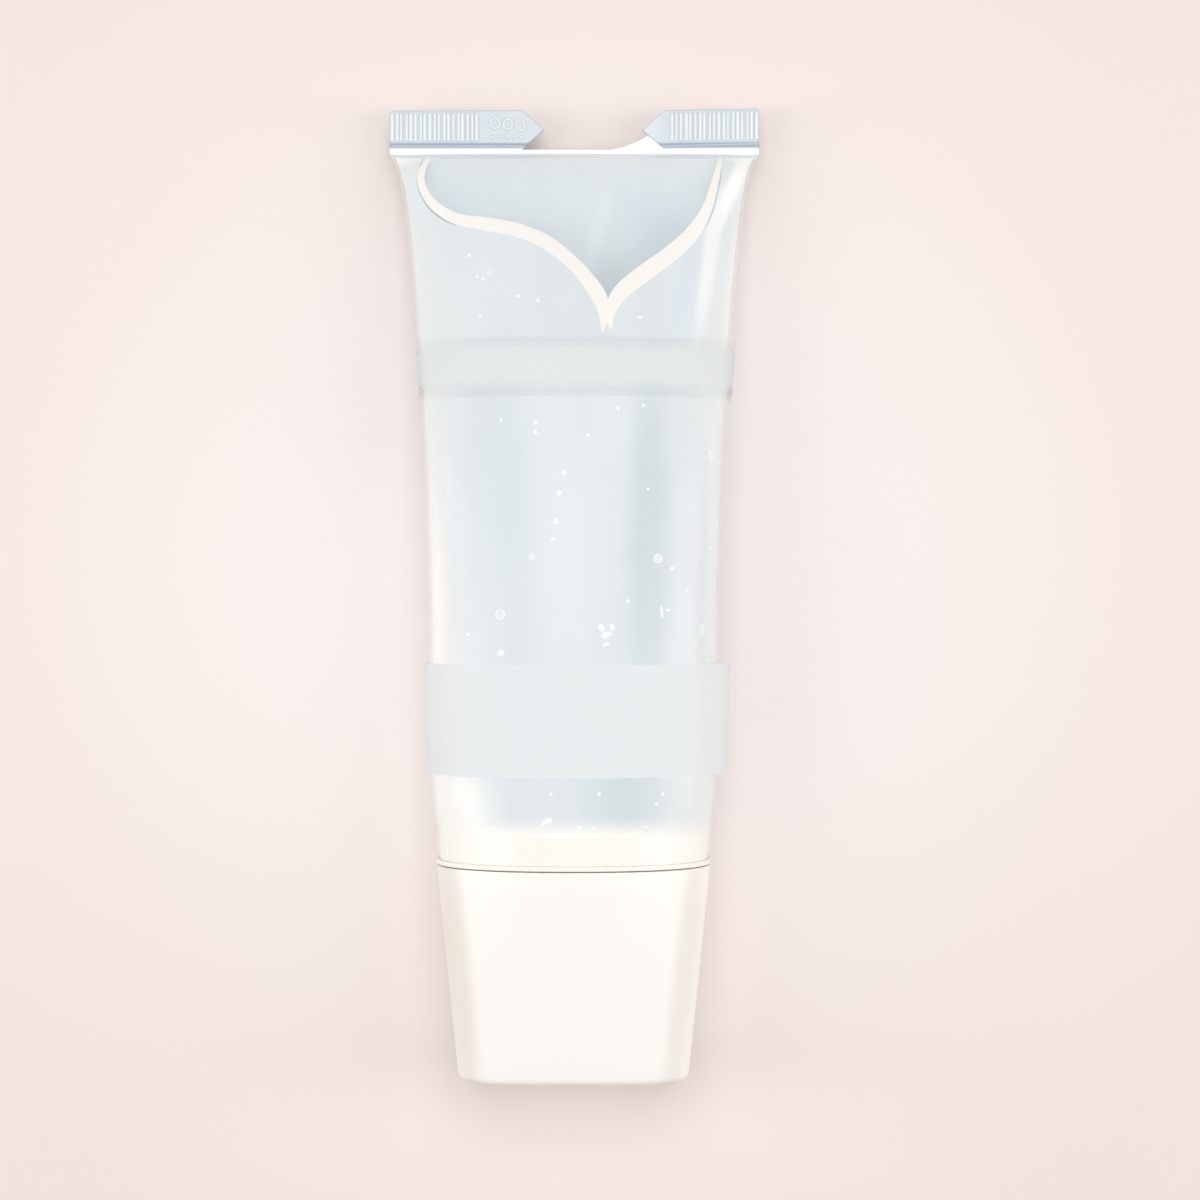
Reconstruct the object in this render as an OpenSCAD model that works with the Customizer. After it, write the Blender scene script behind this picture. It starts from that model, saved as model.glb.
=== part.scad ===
// Clear gel tube that lies on its back: an oval sleeve with a notched end seal,
// a white screw cap, the gel inside it and two blank film labels.
// +X runs across the tube, +Y from the cap to the end seal, +Z up.
// The origin is under the middle of the tube, on the surface that it lies on.

/* [Sleeve] */
// Diameter of the round tube that the sleeve is made from
tube_d = 40; // [39:0.5:43]
// Wall of the clear sleeve
sleeve_wall = 0.5; // [0.35:0.05:0.7]
// Length from the shoulder to the start of the end seal
sleeve_len = 118.4; // [104:0.2:136]
// Width of the oval at the shoulder, which the cap shares
shoulder_w = 45.2; // [43:0.2:47]
// Width of the body halfway along
waist_w = 47.6; // [46:0.2:50]
// Length over which the flat seal opens into the full body
opening_len = 21.5; // [16:0.5:28]
// How far the lying tube is flattened underneath by its own weight
sag = 0.7; // [0.3:0.1:1.2]
// Squareness of the oval: 2 is an ellipse
oval_power = 2.3; // [2:0.1:2.6]

/* [End seal] */
// Thickness of the two walls welded together
seal_t = 0.9; // [0.7:0.05:1.2]
// Height of the sealed band outside the sleeve
seal_h = 7.4; // [6:0.2:9]
// Height of the plain strip that closes the sleeve under the notch
strip_h = 0.7; // [0.5:0.1:1]
// How far the seal is held off the surface that the tube lies on
seal_lift = 5; // [3:0.5:7]
// Length of the left tab, from the edge of the seal to its shoulder
left_tab_len = 22.6; // [18:0.2:25]
// Length of the right tab, from the edge of the seal to its shoulder
right_tab_len = 16.2; // [12:0.2:20]
// Length of the point at the end of each tab
tab_point = 3.8; // [2.5:0.1:4.5]
// How much higher the outer end of the right tab stands
right_tab_rise = 0.35; // [0.1:0.05:0.6]
// Size of the rounded outer corner of each tab
tab_corner = 0.7; // [0.4:0.1:1.2]
// Distance between two ribs of the seal
rib_pitch = 1; // [0.8:0.05:1.3]
// Height of a rib above the seal
rib_h = 0.2; // [0.1:0.05:0.3]
// Number of ribs on the left tab
left_ribs = 15; // [10:1:16]
// Number of ribs on the right tab
right_ribs = 15; // [8:1:15]
// Height of the groove that the edge of the sealing jaw leaves
groove_h = 0.8; // [0.5:0.1:1.2]
// Depth of that groove in each face
groove_depth = 0.15; // [0.1:0.05:0.2]
// Length of the web of film in the right corner of the notch
web_len = 7; // [4:0.5:9]
// Height of that web
web_h = 2.4; // [1.5:0.1:2.8]

/* [Head] */
// Thickness of the flange between the sleeve and the cap
flange_t = 0.8; // [0.6:0.1:1.2]
// Length of the collar that the sleeve is welded to
collar_len = 4.5; // [3:0.5:6]
// Wall of the collar and of the shoulder
head_wall = 1.2; // [0.9:0.1:1.6]
// Height of the sloping shoulder
shoulder_h = 4; // [3:0.5:5]
// Diameter of the neck under its thread
neck_d = 15; // [14:0.5:16]
// Length of the neck above the shoulder
neck_len = 10; // [9:0.5:11]
// Diameter of the hole that the gel comes out of
orifice_d = 5; // [3:0.5:7]
// Thickness of the neck's end wall round that hole
neck_end_t = 1.2; // [0.8:0.1:1.8]
// Wall of the neck under its thread
neck_wall = 2.2; // [1.8:0.1:2.4]

/* [Thread] */
// Lead of the thread
thread_pitch = 3; // [2.6:0.1:3.2]
// Height of the thread above its wall
thread_h = 1.1; // [0.9:0.05:1.2]
// Width of the thread at its root
thread_w = 1.3; // [1.1:0.05:1.4]
// Turns of thread on the neck
neck_turns = 2; // [1.5:0.25:2.25]
// Turns of thread in the cap
cap_turns = 1.25; // [1:0.25:1.5]
// Radial clearance between the two threads and their walls
thread_gap = 0.35; // [0.25:0.05:0.45]

/* [Cap] */
// Length of the cap
cap_len = 35.2; // [32:0.2:42]
// Width of the cap at its closed end
cap_end_w = 37.8; // [35:0.2:41]
// Depth of the cap at its closed end
cap_end_depth = 21; // [19:0.2:26]
// Squareness of the cap's section at its closed end
cap_end_power = 4; // [2.4:0.1:6]
// Wall of the cap
cap_wall = 1.4; // [1.1:0.1:1.8]
// Radius of the edge round the closed end
cap_edge_r = 1.3; // [0.8:0.1:2]
// Gap between the rim of the closed cap and the flange
rim_gap = 0.2; // [0.2:0.05:0.5]
// Wall of the threaded skirt inside the cap
skirt_wall = 1.3; // [1:0.1:1.6]
// Diameter of the well behind the liner
well_d = 11; // [9:0.5:12]
// Thickness of the step that the liner seats on
seat_t = 1.6; // [1.2:0.1:2.2]
// Thickness of the ribs that tie the skirt to the cap's wall
cap_rib_t = 1.1; // [0.8:0.1:1.5]
// Thickness of the sealing liner
liner_t = 1; // [0.6:0.1:1.4]

/* [Gel] */
// Gap between the gel and the walls round it
gel_gap = 0.05; // [0.03:0.01:0.1]
// Depth of the rounded gel front along the trapped air
front_depth = 2.6; // [1.5:0.1:3.2]

/* [Labels] */
// Thickness of the label film
label_t = 0.2; // [0.12:0.02:0.3]
// Gap between the label film and the sleeve
label_gap = 0.12; // [0.08:0.02:0.2]
// Distance of the lower label from the shoulder
low_label_at = 14.1; // [8:0.1:20]
// Width of the lower label's band
low_label_w = 18.1; // [14:0.1:24]
// How far the right end of the lower label has lifted off
low_label_lift = 2.1; // [0.5:0.1:2.6]
// How far the left end of the lower label has lifted off
low_label_left_lift = 0.8; // [0.2:0.1:1.2]
// Distance of the upper label from the shoulder
top_label_at = 75.6; // [68:0.2:80]
// Width of the upper label's band
top_label_w = 10; // [8:0.2:12]
// How far the right end of the upper label has lifted off
top_label_lift = 0.8; // [0.3:0.1:1.6]
// Radius of the corners of both labels, seen from above
label_corner = 1.4; // [0.8:0.1:2.4]

/* [Hidden] */

// Points round each oval, and steps along the sleeve
ring_n = 48;
ring_step = 360 / ring_n;
stations = 24;
station_power = 1.6;
bisections = 20;

// The sleeve keeps the girth of the round tube all the way to the flat seal
tube_girth = PI * tube_d;
flat_w = tube_girth / 2;
shoulder_b = half_depth(shoulder_w / 2);
axis_z = shoulder_b;
seal_z = seal_lift + seal_t / 2;

// Share of the flare that is slow, and the powers of its slow and quick parts
slow_flare = 0.8;
slow_power = 2.9;
quick_power = 40;
// Distance over which the body swells from the shoulder, and over which it sags
swell_len = 4;
sag_len = 10;
// Share of the length at which the underside starts to rise to the seal
rise_from = 0.78;

// Places along Y
total_len = cap_len + rim_gap + flange_t + sleeve_len + seal_h + right_tab_rise;
cap_end_y = -total_len / 2;
cap_rim_y = cap_end_y + cap_len;
flange_y = cap_rim_y + rim_gap;
shoulder_y = flange_y + flange_t;
seal_y = shoulder_y + sleeve_len;
// The cavity ends this far before the seal
cavity_end = 0.8;
// The seal runs this far into the closed end of the sleeve
seal_bite = 0.4;

// Ledge of the shoulder round the neck, gap between it and the cap's skirt, and
// the plain end of the neck before its thread
neck_ledge = 3;
mouth_gap = 1;
thread_start = 1.6;

// Neck, thread and skirt
neck_r = neck_d / 2;
crest_w = thread_w * 0.55;
skirt_r = neck_r + thread_h + thread_gap;
skirt_out_r = skirt_r + skirt_wall;
neck_base_y = flange_y - shoulder_h;
neck_top_y = neck_base_y - neck_len;
liner_y = neck_top_y - rim_gap;
skirt_top_y = liner_y - liner_t;
skirt_mouth_y = neck_base_y - mouth_gap;
neck_bore_r = neck_r - neck_wall;
well_r = well_d / 2;
neck_root_r = neck_r + neck_ledge;
// The shoulder is this far clear of the cap where the turning oval is narrowest
cap_clear = 0.5;
shoulder_r = shoulder_b - cap_wall - cap_clear;
thread_top_y = neck_top_y + thread_start;
thread_bite = 0.2;
thread_step = 15;
thread_ramp = 0.2;
floor_t = cap_wall;
// Rings between the cap's rim and its closed end
cap_levels = 5;

// Half width and half depth of the cap's and the shoulder's oval
shoulder_a = shoulder_w / 2;

// Air trapped at the end seal: the line on the wall where the gel stops, from the
// left of the seal down to the tip and up to the right. Each point is a share of
// the half width there and a share of the sleeve's length from the seal.
air_line = [
    [-0.789, 0.051], [-0.868, -0.03], [-0.87, -0.069], [-0.758, -0.097], [-0.54, -0.112],
    [-0.339, -0.121], [-0.134, -0.144], [0.029, -0.177], [0.134, -0.204], [0.199, -0.235],
    [0.268, -0.209], [0.466, -0.178], [0.601, -0.15], [0.714, -0.12], [0.789, -0.08],
    [0.818, -0.034], [0.796, 0.051]
];
air_steps = 4;
// Most that the gel's front bulges, as a share of the half depth there
front_share = 0.5;
front_levels = [-1, -0.85, -0.5, 0, 0.5, 0.85, 1];

// Air bubbles in the gel: share of the half width right of the axis, share of the
// sleeve's length from the shoulder, depth below the upper wall and radius
bubbles = [
    [-0.51, 0.822, 2.2, 0.9], [-0.21, 0.602, 2.0, 0.6], [-0.25, 0.586, 2.4, 0.7],
    [0.29, 0.617, 2.0, 0.6], [0.88, 0.561, 2.6, 0.9], [-0.05, 0.531, 3.0, 0.7],
    [-0.11, 0.467, 3.4, 0.8], [-0.26, 0.418, 2.6, 0.8], [0.56, 0.416, 2.2, 1.0],
    [-0.48, 0.34, 2.4, 1.0], [0.25, 0.313, 2.8, 1.4], [0.85, 0.319, 2.6, 0.9],
    [-0.48, 0.29, 3.0, 0.8], [0.15, 0.115, 2.4, 0.7], [-0.16, 0.067, 2.6, 1.2],
    [0.48, 0.064, 2.4, 0.9]
];

// Colours
clear = [0.86, 0.92, 0.95, 0.35];
gel_blue = [0.84, 0.90, 0.93, 0.6];
cap_white = [0.98, 0.97, 0.95];
head_white = [0.96, 0.96, 0.95];
film_white = [0.91, 0.93, 0.94, 0.8];
liner_white = [0.93, 0.93, 0.92];

// Plane oval, as points [x, z] anticlockwise from the right
function oval_point(a, b, angle, power = oval_power) = [
    a * sign(cos(angle)) * pow(abs(cos(angle)), 2 / power),
    b * sign(sin(angle)) * pow(abs(sin(angle)), 2 / power)
];
function oval(a, b, power = oval_power) = [for (i = [0:ring_n - 1]) oval_point(a, b, i * ring_step, power)];

// Girth of a quarter of the oval, four times
function quarter_girth(a, b) = let (
    steps = ring_n / 4,
    pts = [for (i = [0:steps]) oval_point(a, b, i * ring_step)],
    parts = [for (i = [1:steps]) norm(pts[i] - pts[i - 1])]
) sum(parts);
function sum(v, i = 0) = i < len(v) ? v[i] + sum(v, i + 1) : 0;

// Half depth that gives an oval of half width a the girth of the tube
function half_depth(a, lo = 0.05, hi = tube_d, k = bisections) = let (
    mid = (lo + hi) / 2,
    short = 4 * quarter_girth(a, mid) < PI * tube_d
) k == 0 ? mid : short ? half_depth(a, mid, hi, k - 1) : half_depth(a, lo, mid, k - 1);

// Smooth step from 0 to 1
function ease(t) = let (c = min(1, max(0, t))) c * c * (3 - 2 * c);

// Half width, half depth and centre height of the sleeve at s from the shoulder.
// The collar keeps its end from swelling and from being pressed flat.
function past_collar(s) = max(0, s - collar_len);
function body_a(s) = let (u = s / sleeve_len) waist_w / 2
    + (flat_w - waist_w) / 2 * (slow_flare * pow(u, slow_power) + (1 - slow_flare) * pow(u, quick_power))
    - (waist_w - shoulder_w) / 2 * exp(-past_collar(s) / swell_len);
function opened(s) = (1 - exp((s - sleeve_len) / opening_len)) / (1 - exp(-sleeve_len / opening_len));
function body_b(s) = seal_t / 2 + (shoulder_b - seal_t / 2) * opened(s);
function pressed(s) = sag * (1 - exp(-past_collar(s) / sag_len)) * opened(s);
function lifted(s) = seal_lift * pow(ease((s / sleeve_len - rise_from) / (1 - rise_from)), 2);
function body_z(s) = body_b(s) - pressed(s) + lifted(s);

// Ring of the sleeve at s, taken in by inset, with its underside flattened
function body_point(s, inset, angle, out = 0) = let (
    p = oval_point(max(0.1, body_a(s) - inset + out), max(0.04, body_b(s) - inset + out), angle)
) [p[0], shoulder_y + s, max(max(0, inset), body_z(s) + p[1])];
function body_ring(s, inset) = [for (i = [0:ring_n - 1]) body_point(s, inset, i * ring_step)];

// Steps along the sleeve from s0 to s1, closer together towards the seal
function steps_between(s0, s1) = [
    for (k = [0:stations]) s1 - (s1 - s0) * pow(1 - k / stations, station_power)
];
function reversed(v) = [for (i = [len(v) - 1:-1:0]) v[i]];

// Oval ring across Y, centred on the cap's axis
function axis_ring(a, b, y, power) = [for (p = oval(a, b, power)) [p[0], y, axis_z + p[1]]];

// Solid through rings of equal length, which run anticlockwise as seen from
// the first ring towards the next, with a flat face at each end
module loft(rings) {
    n = len(rings[0]);
    last = len(rings) - 1;
    polyhedron(
        points = [for (ring = rings) each ring],
        faces = concat(
            [[for (i = [n - 1:-1:0]) i]],
            [for (k = [0:last - 1]) for (i = [0:n - 1]) let (j = (i + 1) % n)
                [k * n + i, k * n + j, (k + 1) * n + i]],
            [for (k = [0:last - 1]) for (i = [0:n - 1]) let (j = (i + 1) % n)
                [k * n + j, (k + 1) * n + j, (k + 1) * n + i]],
            [[for (i = [0:n - 1]) last * n + i]]
        ),
        convexity = 6
    );
}

// Curved sheet between two grids of points of equal size: rows run along the
// tube, and the points of a row from its right over the top to its left
module curved_sheet(outer, inner) {
    n = len(outer[0]);
    rows = len(outer);
    under = n * rows;
    function quad(a, b, c, d) = [[a, b, c], [b, d, c]];
    polyhedron(
        points = concat([for (row = outer) each row], [for (row = inner) each row]),
        faces = concat(
            [for (k = [0:rows - 2]) for (i = [0:n - 2]) let (p = k * n + i)
                each quad(p, p + 1, p + n, p + n + 1)],
            [for (k = [0:rows - 2]) for (i = [0:n - 2]) let (p = under + k * n + i)
                each quad(p, p + n, p + 1, p + n + 1)],
            [for (i = [0:n - 2]) each quad(i + 1, i, under + i + 1, under + i)],
            [for (i = [under - n:under - 2]) each quad(i, i + 1, under + i, under + i + 1)],
            [for (k = [0:rows - 2]) each quad(k * n, k * n + n, under + k * n, under + k * n + n)],
            [for (k = [1:rows - 1]) let (p = k * n + n - 1) each quad(p, p - n, under + p, under + p - n)]
        ),
        convexity = 4
    );
}

// Turns a flat shape, drawn across X and Z, into a bar from y towards the cap
module bar_along_y(y, length) {
    translate([0, y, 0]) rotate([90, 0, 0]) linear_extrude(length) children();
}

// Round bar on the cap's axis, from y towards the cap
module axis_rod(y, length, r) {
    translate([0, y, axis_z]) rotate([90, 0, 0]) cylinder(h = length, r = r, $fn = 64);
}

// Section of a thread ridge, as points [radius, place along Y]
function ridge(root_r, tip_r) = [
    [root_r, -thread_w / 2], [root_r, thread_w / 2], [tip_r, crest_w / 2], [tip_r, -crest_w / 2]
];

// Right-handed helical ridge on the cap's axis, which starts at y and runs to the cap
module helical_ridge(y, turns, root_r, crest_r) {
    count = round(turns * 360 / thread_step);
    loft([
        for (k = [0:count]) let (
            angle = k * thread_step,
            at_y = y - thread_pitch * angle / 360,
            end_turns = min(k, count - k) * thread_step / 360,
            grown = 0.15 + 0.85 * ease(end_turns / thread_ramp),
            section = ridge(root_r, root_r + (crest_r - root_r) * grown)
        ) [for (p = crest_r > root_r ? section : reversed(section))
            [p[0] * cos(angle), at_y + p[1], axis_z + p[0] * sin(angle)]]
    ]);
}

// The film shell, from the shoulder to the closed end that carries the seal
module sleeve_shell() {
    outer = [for (s = concat([0], steps_between(collar_len, sleeve_len))) body_ring(s, 0)];
    cavity_steps = concat([0], steps_between(collar_len, sleeve_len - cavity_end));
    inner = [for (s = cavity_steps) body_ring(s, sleeve_wall)];
    loft(concat(reversed(inner), outer));
}

// Outline of the left tab, from the edge of the seal to its point
module tab_outline(length) {
    mid = (seal_h + strip_h) / 2;
    polygon([
        [0, -seal_bite], [length, -seal_bite], [length, strip_h], [length + tab_point, mid],
        [length, seal_h], [tab_corner, seal_h], [0.3 * tab_corner, seal_h - 0.3 * tab_corner],
        [0, seal_h - tab_corner]
    ]);
}

// Concave web of film between the strip and the right tab's point
module web_outline() {
    polygon([
        for (t = [0:0.125:1]) [-web_len * (1 - t), strip_h + web_h * t * t],
        [0.6, strip_h + web_h], [2, 0], [-web_len, 0]
    ]);
}

// Ribs pressed into a tab, from its edge inwards, on both faces
module tab_ribs(count) {
    side = [for (i = [0:count - 1]) each [
        [(i + 0.3) * rib_pitch, seal_t / 2 - 0.05], [(i + 0.45) * rib_pitch, seal_t / 2 + rib_h],
        [(i + 0.85) * rib_pitch, seal_t / 2 + rib_h], [(i + 1) * rib_pitch, seal_t / 2 - 0.05]
    ]];
    translate([0, seal_h - 0.4, 0]) rotate([90, 0, 0])
        linear_extrude(seal_h - strip_h - groove_h - 0.9)
            polygon(concat(side, [for (p = reversed(side)) [p[0], -p[1]]]));
}

// One tab of the seal with its ribs and its jaw groove
module tab(length, ribs) {
    difference() {
        union() {
            translate([0, 0, -seal_t / 2]) linear_extrude(seal_t) tab_outline(length);
            tab_ribs(ribs);
        }
        for (face = [-1, 1])
            translate([-1, strip_h + 0.2, face * seal_t / 2 - groove_depth])
                cube([length + 1.6, groove_h, 2 * groove_depth]);
    }
}

// The end seal: a strip, a tab at each side of the notch, and the web
module end_seal() {
    translate([0, seal_y, seal_z]) {
        translate([-flat_w / 2, -seal_bite, -seal_t / 2]) cube([flat_w, seal_bite + strip_h, seal_t]);
        translate([-flat_w / 2, 0, 0]) tab(left_tab_len, left_ribs);
        translate([flat_w / 2 - right_tab_len, 0, 0]) rotate(asin(right_tab_rise / right_tab_len))
            translate([right_tab_len, 0, 0]) mirror([1, 0, 0]) tab(right_tab_len, right_ribs);
        translate([flat_w / 2 - right_tab_len - tab_point, 0, -seal_t / 4])
            linear_extrude(seal_t / 2) web_outline();
    }
}

// Extruded clear sleeve, flattened and welded at its far end
module sleeve() {
    color(clear) union() {
        sleeve_shell();
        end_seal();
    }
}

// Solid of the sloping shoulder, taken in by inset on every side. It is round,
// so that the oval cap can turn over it.
module shoulder_cone(inset) {
    mouth_t = inset > 0 ? flange_t : flange_t / 2;
    axis_rod(flange_y + inset + mouth_t, mouth_t, shoulder_r - inset);
    translate([0, flange_y + inset, axis_z]) rotate([90, 0, 0])
        cylinder(h = shoulder_h, r1 = shoulder_r - inset, r2 = neck_root_r - inset, $fn = 64);
}

// Moulded head: collar, flange, shoulder and threaded neck with the orifice
module head() {
    collar_a = shoulder_a - sleeve_wall - gel_gap;
    collar_b = shoulder_b - sleeve_wall - gel_gap;
    color(head_white) difference() {
        union() {
            translate([0, 0, axis_z]) bar_along_y(shoulder_y, flange_t) polygon(oval(shoulder_a, shoulder_b));
            translate([0, 0, axis_z]) bar_along_y(shoulder_y + collar_len, collar_len + 0.1)
                polygon(oval(collar_a, collar_b));
            shoulder_cone(0);
            axis_rod(flange_y, shoulder_h + neck_len, neck_r);
            helical_ridge(
                thread_top_y + neck_turns * thread_pitch, neck_turns, neck_r - thread_bite,
                neck_r + thread_h
            );
        }
        translate([0, 0, axis_z]) bar_along_y(shoulder_y + collar_len + 1, collar_len + 1)
            polygon(oval(collar_a - head_wall, collar_b - head_wall));
        shoulder_cone(head_wall);
        axis_rod(flange_y + 1, shoulder_h + neck_len + 1 - neck_end_t, neck_bore_r);
        axis_rod(neck_top_y + 2 * neck_end_t, 3 * neck_end_t, orifice_d / 2);
    }
}

// Ring of the cap at a distance from its rim: it tapers from the shoulder's oval
// to the flatter and squarer section of the closed end
function blend(from, to, t) = from + (to - from) * t;
function cap_ring(d, inset) = let (t = d / cap_len) axis_ring(
    blend(shoulder_a, cap_end_w / 2, t) - inset, blend(shoulder_b, cap_end_depth / 2, t) - inset,
    cap_rim_y - d, blend(oval_power, cap_end_power, t)
);

// Outer shell of the cap as one cup, with its edge rounded at the closed end
module cap_shell() {
    inner = [for (k = [cap_levels:-1:0]) cap_ring((cap_len - floor_t) * k / cap_levels, cap_wall)];
    side = [for (k = [0:cap_levels - 1]) cap_ring((cap_len - cap_edge_r) * k / cap_levels, 0)];
    edge = [for (angle = [0:18:90])
        cap_ring(cap_len - cap_edge_r * (1 - sin(angle)), cap_edge_r * (1 - cos(angle)))];
    // The rings run from the rim to the closed end, so the order is turned round
    loft(reversed(concat(inner, side, edge)));
}

// Screw cap: tapered oval shell, threaded skirt and the ribs between them
module cap() {
    color(cap_white) union() {
        cap_shell();
        difference() {
            intersection() {
                union() {
                    axis_rod(skirt_mouth_y, skirt_mouth_y - skirt_top_y + seat_t, skirt_out_r);
                    axis_rod(skirt_top_y, skirt_top_y - cap_end_y - floor_t / 2, well_r + skirt_wall);
                    for (turn = [0:90:270])
                        translate([0, skirt_mouth_y - 2, axis_z]) rotate([90, 0, 0]) rotate(turn)
                            translate([0, -cap_rib_t / 2, 0])
                                cube([shoulder_w, cap_rib_t, skirt_mouth_y - 2 - cap_end_y - floor_t / 2]);
                }
                loft([for (k = [cap_levels:-1:0])
                    cap_ring((cap_len - floor_t / 2) * k / cap_levels, cap_wall / 2)]);
            }
            axis_rod(skirt_mouth_y + 1, skirt_mouth_y + 1 - skirt_top_y, skirt_r);
            axis_rod(skirt_mouth_y, skirt_mouth_y - cap_end_y - floor_t, well_r);
        }
        helical_ridge(
            thread_top_y + (neck_turns - 0.5) * thread_pitch, cap_turns, skirt_r + thread_bite,
            skirt_r - thread_h
        );
    }
}

// Disc of soft foam in the cap that closes the orifice
module cap_liner() {
    color(liner_white) axis_rod(liner_y, liner_t, skirt_r - thread_h - 0.1);
}

// Curve through the points of a line, with even steps between each two
function curve_point(line, i, t) = let (
    last = len(line) - 1,
    p0 = line[max(0, i - 1)],
    p1 = line[i],
    p2 = line[min(last, i + 1)],
    p3 = line[min(last, i + 2)]
) 0.5 * (2 * p1 + (p2 - p0) * t + (2 * p0 - 5 * p1 + 4 * p2 - p3) * t * t
    + (3 * p1 - p0 - 3 * p2 + p3) * t * t * t);
air_points = [for (p = air_line) [p[0] * body_a(sleeve_len * min(1, 1 + p[1])), p[1] * sleeve_len]];
air_curve = [
    for (i = [0:len(air_points) - 2]) for (k = [0:air_steps - 1]) curve_point(air_points, i, k / air_steps),
    air_points[len(air_points) - 1]
];

// Outward direction of the air's outline at point i
function air_normal(i) = let (
    last = len(air_curve) - 1,
    along = air_curve[min(last, i + 1)] - air_curve[max(0, i - 1)]
) [along[1], -along[0]] / norm(along);

// Half depth of the sleeve at x from its middle and s from the shoulder
function wall_half(x, s) = body_b(s)
    * pow(max(0, 1 - pow(min(1, abs(x) / body_a(s)), oval_power)), 1 / oval_power);

// Outline of the air at one level between the lower wall, -1, and the upper, 1
function air_ring(level) = reversed([
    for (i = [0:len(air_curve) - 1]) let (
        on_wall = air_curve[i],
        at = min(sleeve_len, sleeve_len + on_wall[1]),
        bulge = min(front_depth, front_share * wall_half(on_wall[0], at)),
        p = on_wall + air_normal(i) * bulge * sqrt(1 - level * level),
        s = min(sleeve_len, max(0, sleeve_len + p[1]))
    ) [p[0], seal_y + p[1], body_z(s) + level * (body_b(s) + 0.2)]
]);
function flat_air_ring(z) = [for (p = air_ring(1)) [p[0], p[1], z]];

// The trapped air as a solid, which is cut out of the gel
module trapped_air() {
    loft(concat(
        [flat_air_ring(-seal_lift)],
        [for (level = front_levels) air_ring(level)],
        [flat_air_ring(3 * shoulder_b)]
    ));
}

// The gel: it fills the sleeve, the head and the neck, around the trapped air
module gel() {
    inset = sleeve_wall + gel_gap;
    gel_from = collar_len + gel_gap;
    gel_to = sleeve_len - cavity_end - 0.5;
    core_a = shoulder_a - inset - head_wall - gel_gap;
    core_b = shoulder_b - inset - head_wall - gel_gap;
    color(gel_blue) difference() {
        union() {
            loft([for (s = steps_between(gel_from, gel_to)) body_ring(s, inset)]);
            translate([0, 0, axis_z]) bar_along_y(shoulder_y + gel_from + 0.5, gel_from + 0.5 - gel_gap)
                polygon(oval(core_a, core_b));
            shoulder_cone(head_wall + gel_gap);
            axis_rod(flange_y, shoulder_h + neck_len - neck_end_t - gel_gap, neck_bore_r - gel_gap);
        }
        trapped_air();
        for (p = bubbles) {
            s = p[1] * sleeve_len;
            x = p[0] * body_a(s);
            top = body_z(s) + wall_half(x, s) - inset;
            translate([x, shoulder_y + s, top - p[2]]) sphere(r = p[3], $fn = 16);
        }
    }
}

// Film label that covers the upper side, turns down at both sides and has round corners
module label(s0, width, right_lift, left_lift) {
    first = -2;
    last = ring_n / 2 + 2;
    curl = 6;
    skin = label_gap + label_t;
    right_x = body_a(s0 + width) + skin + right_lift - label_corner;
    left_x = -body_a(s0 + width) - skin - left_lift + label_corner;
    function lift_at(i) = right_lift * ease((first + curl - i) / curl)
        + left_lift * ease((i - last + curl) / curl);
    function face(out) = [for (k = [0:4]) [for (i = [first:last])
        body_point(s0 + width * k / 4, 0, i * ring_step, label_gap + lift_at(i) + out)]];
    color(film_white) intersection() {
        curved_sheet(face(label_t), face(0));
        hull() for (x = [left_x, right_x], s = [s0 + label_corner, s0 + width - label_corner])
            translate([x, shoulder_y + s, 0]) cylinder(r = label_corner, h = 3 * shoulder_b, $fn = 32);
    }
}
module lower_label() {
    label(low_label_at, low_label_w, low_label_lift, low_label_left_lift);
}
module upper_label() {
    label(top_label_at, top_label_w, top_label_lift, 0);
}

sleeve();
head();
cap();
cap_liner();
gel();
lower_label();
upper_label();
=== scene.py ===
import math

import bmesh
import bpy
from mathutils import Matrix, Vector


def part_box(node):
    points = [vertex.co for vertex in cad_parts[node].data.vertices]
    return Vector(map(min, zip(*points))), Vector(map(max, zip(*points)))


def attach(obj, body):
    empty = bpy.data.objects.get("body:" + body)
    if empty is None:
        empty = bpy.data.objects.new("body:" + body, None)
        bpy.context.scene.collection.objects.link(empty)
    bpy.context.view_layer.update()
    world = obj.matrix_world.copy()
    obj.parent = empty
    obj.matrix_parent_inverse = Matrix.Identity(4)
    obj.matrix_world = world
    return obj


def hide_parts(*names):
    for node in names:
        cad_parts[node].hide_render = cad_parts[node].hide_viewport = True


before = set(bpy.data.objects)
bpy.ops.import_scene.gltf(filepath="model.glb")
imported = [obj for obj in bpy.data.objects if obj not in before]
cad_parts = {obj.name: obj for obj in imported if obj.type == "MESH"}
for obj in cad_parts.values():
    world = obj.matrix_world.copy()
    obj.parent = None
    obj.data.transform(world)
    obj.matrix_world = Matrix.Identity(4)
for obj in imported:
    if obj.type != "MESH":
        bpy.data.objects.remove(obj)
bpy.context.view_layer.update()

# Sleeve
# The clear wall of the tube, an extruded film tube of 40 mm. It is welded round the head's collar and
# flattened at its far end, and keeps its girth all the way, so the oval widens as it flattens.
MM = 0.001
SLEEVE_WALL = 0.5 * MM
SLEEVE_LEN = 118.4 * MM
WAIST_HALF_W = 23.8 * MM
OPENING_LEN = 21.5 * MM
SAG = 0.7 * MM
SAG_LEN = 10 * MM
SWELL_LEN = 4 * MM
SEAL_HALF_T = 0.45 * MM
SEAL_LIFT = 5 * MM
OVAL_POWER = 2.3
SLOW_FLARE = 0.8
SLOW_POWER = 2.9
QUICK_POWER = 40
RISE_FROM = 0.78
CAVITY_END = 0.8 * MM
COLLAR_LEN = 4.5 * MM
WELD_FADE = 0.2 * MM
LEAST_HALF_W = 0.1 * MM
LEAST_HALF_T = 0.04 * MM
MERGE = 0.002 * MM
AROUND = 160

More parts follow.
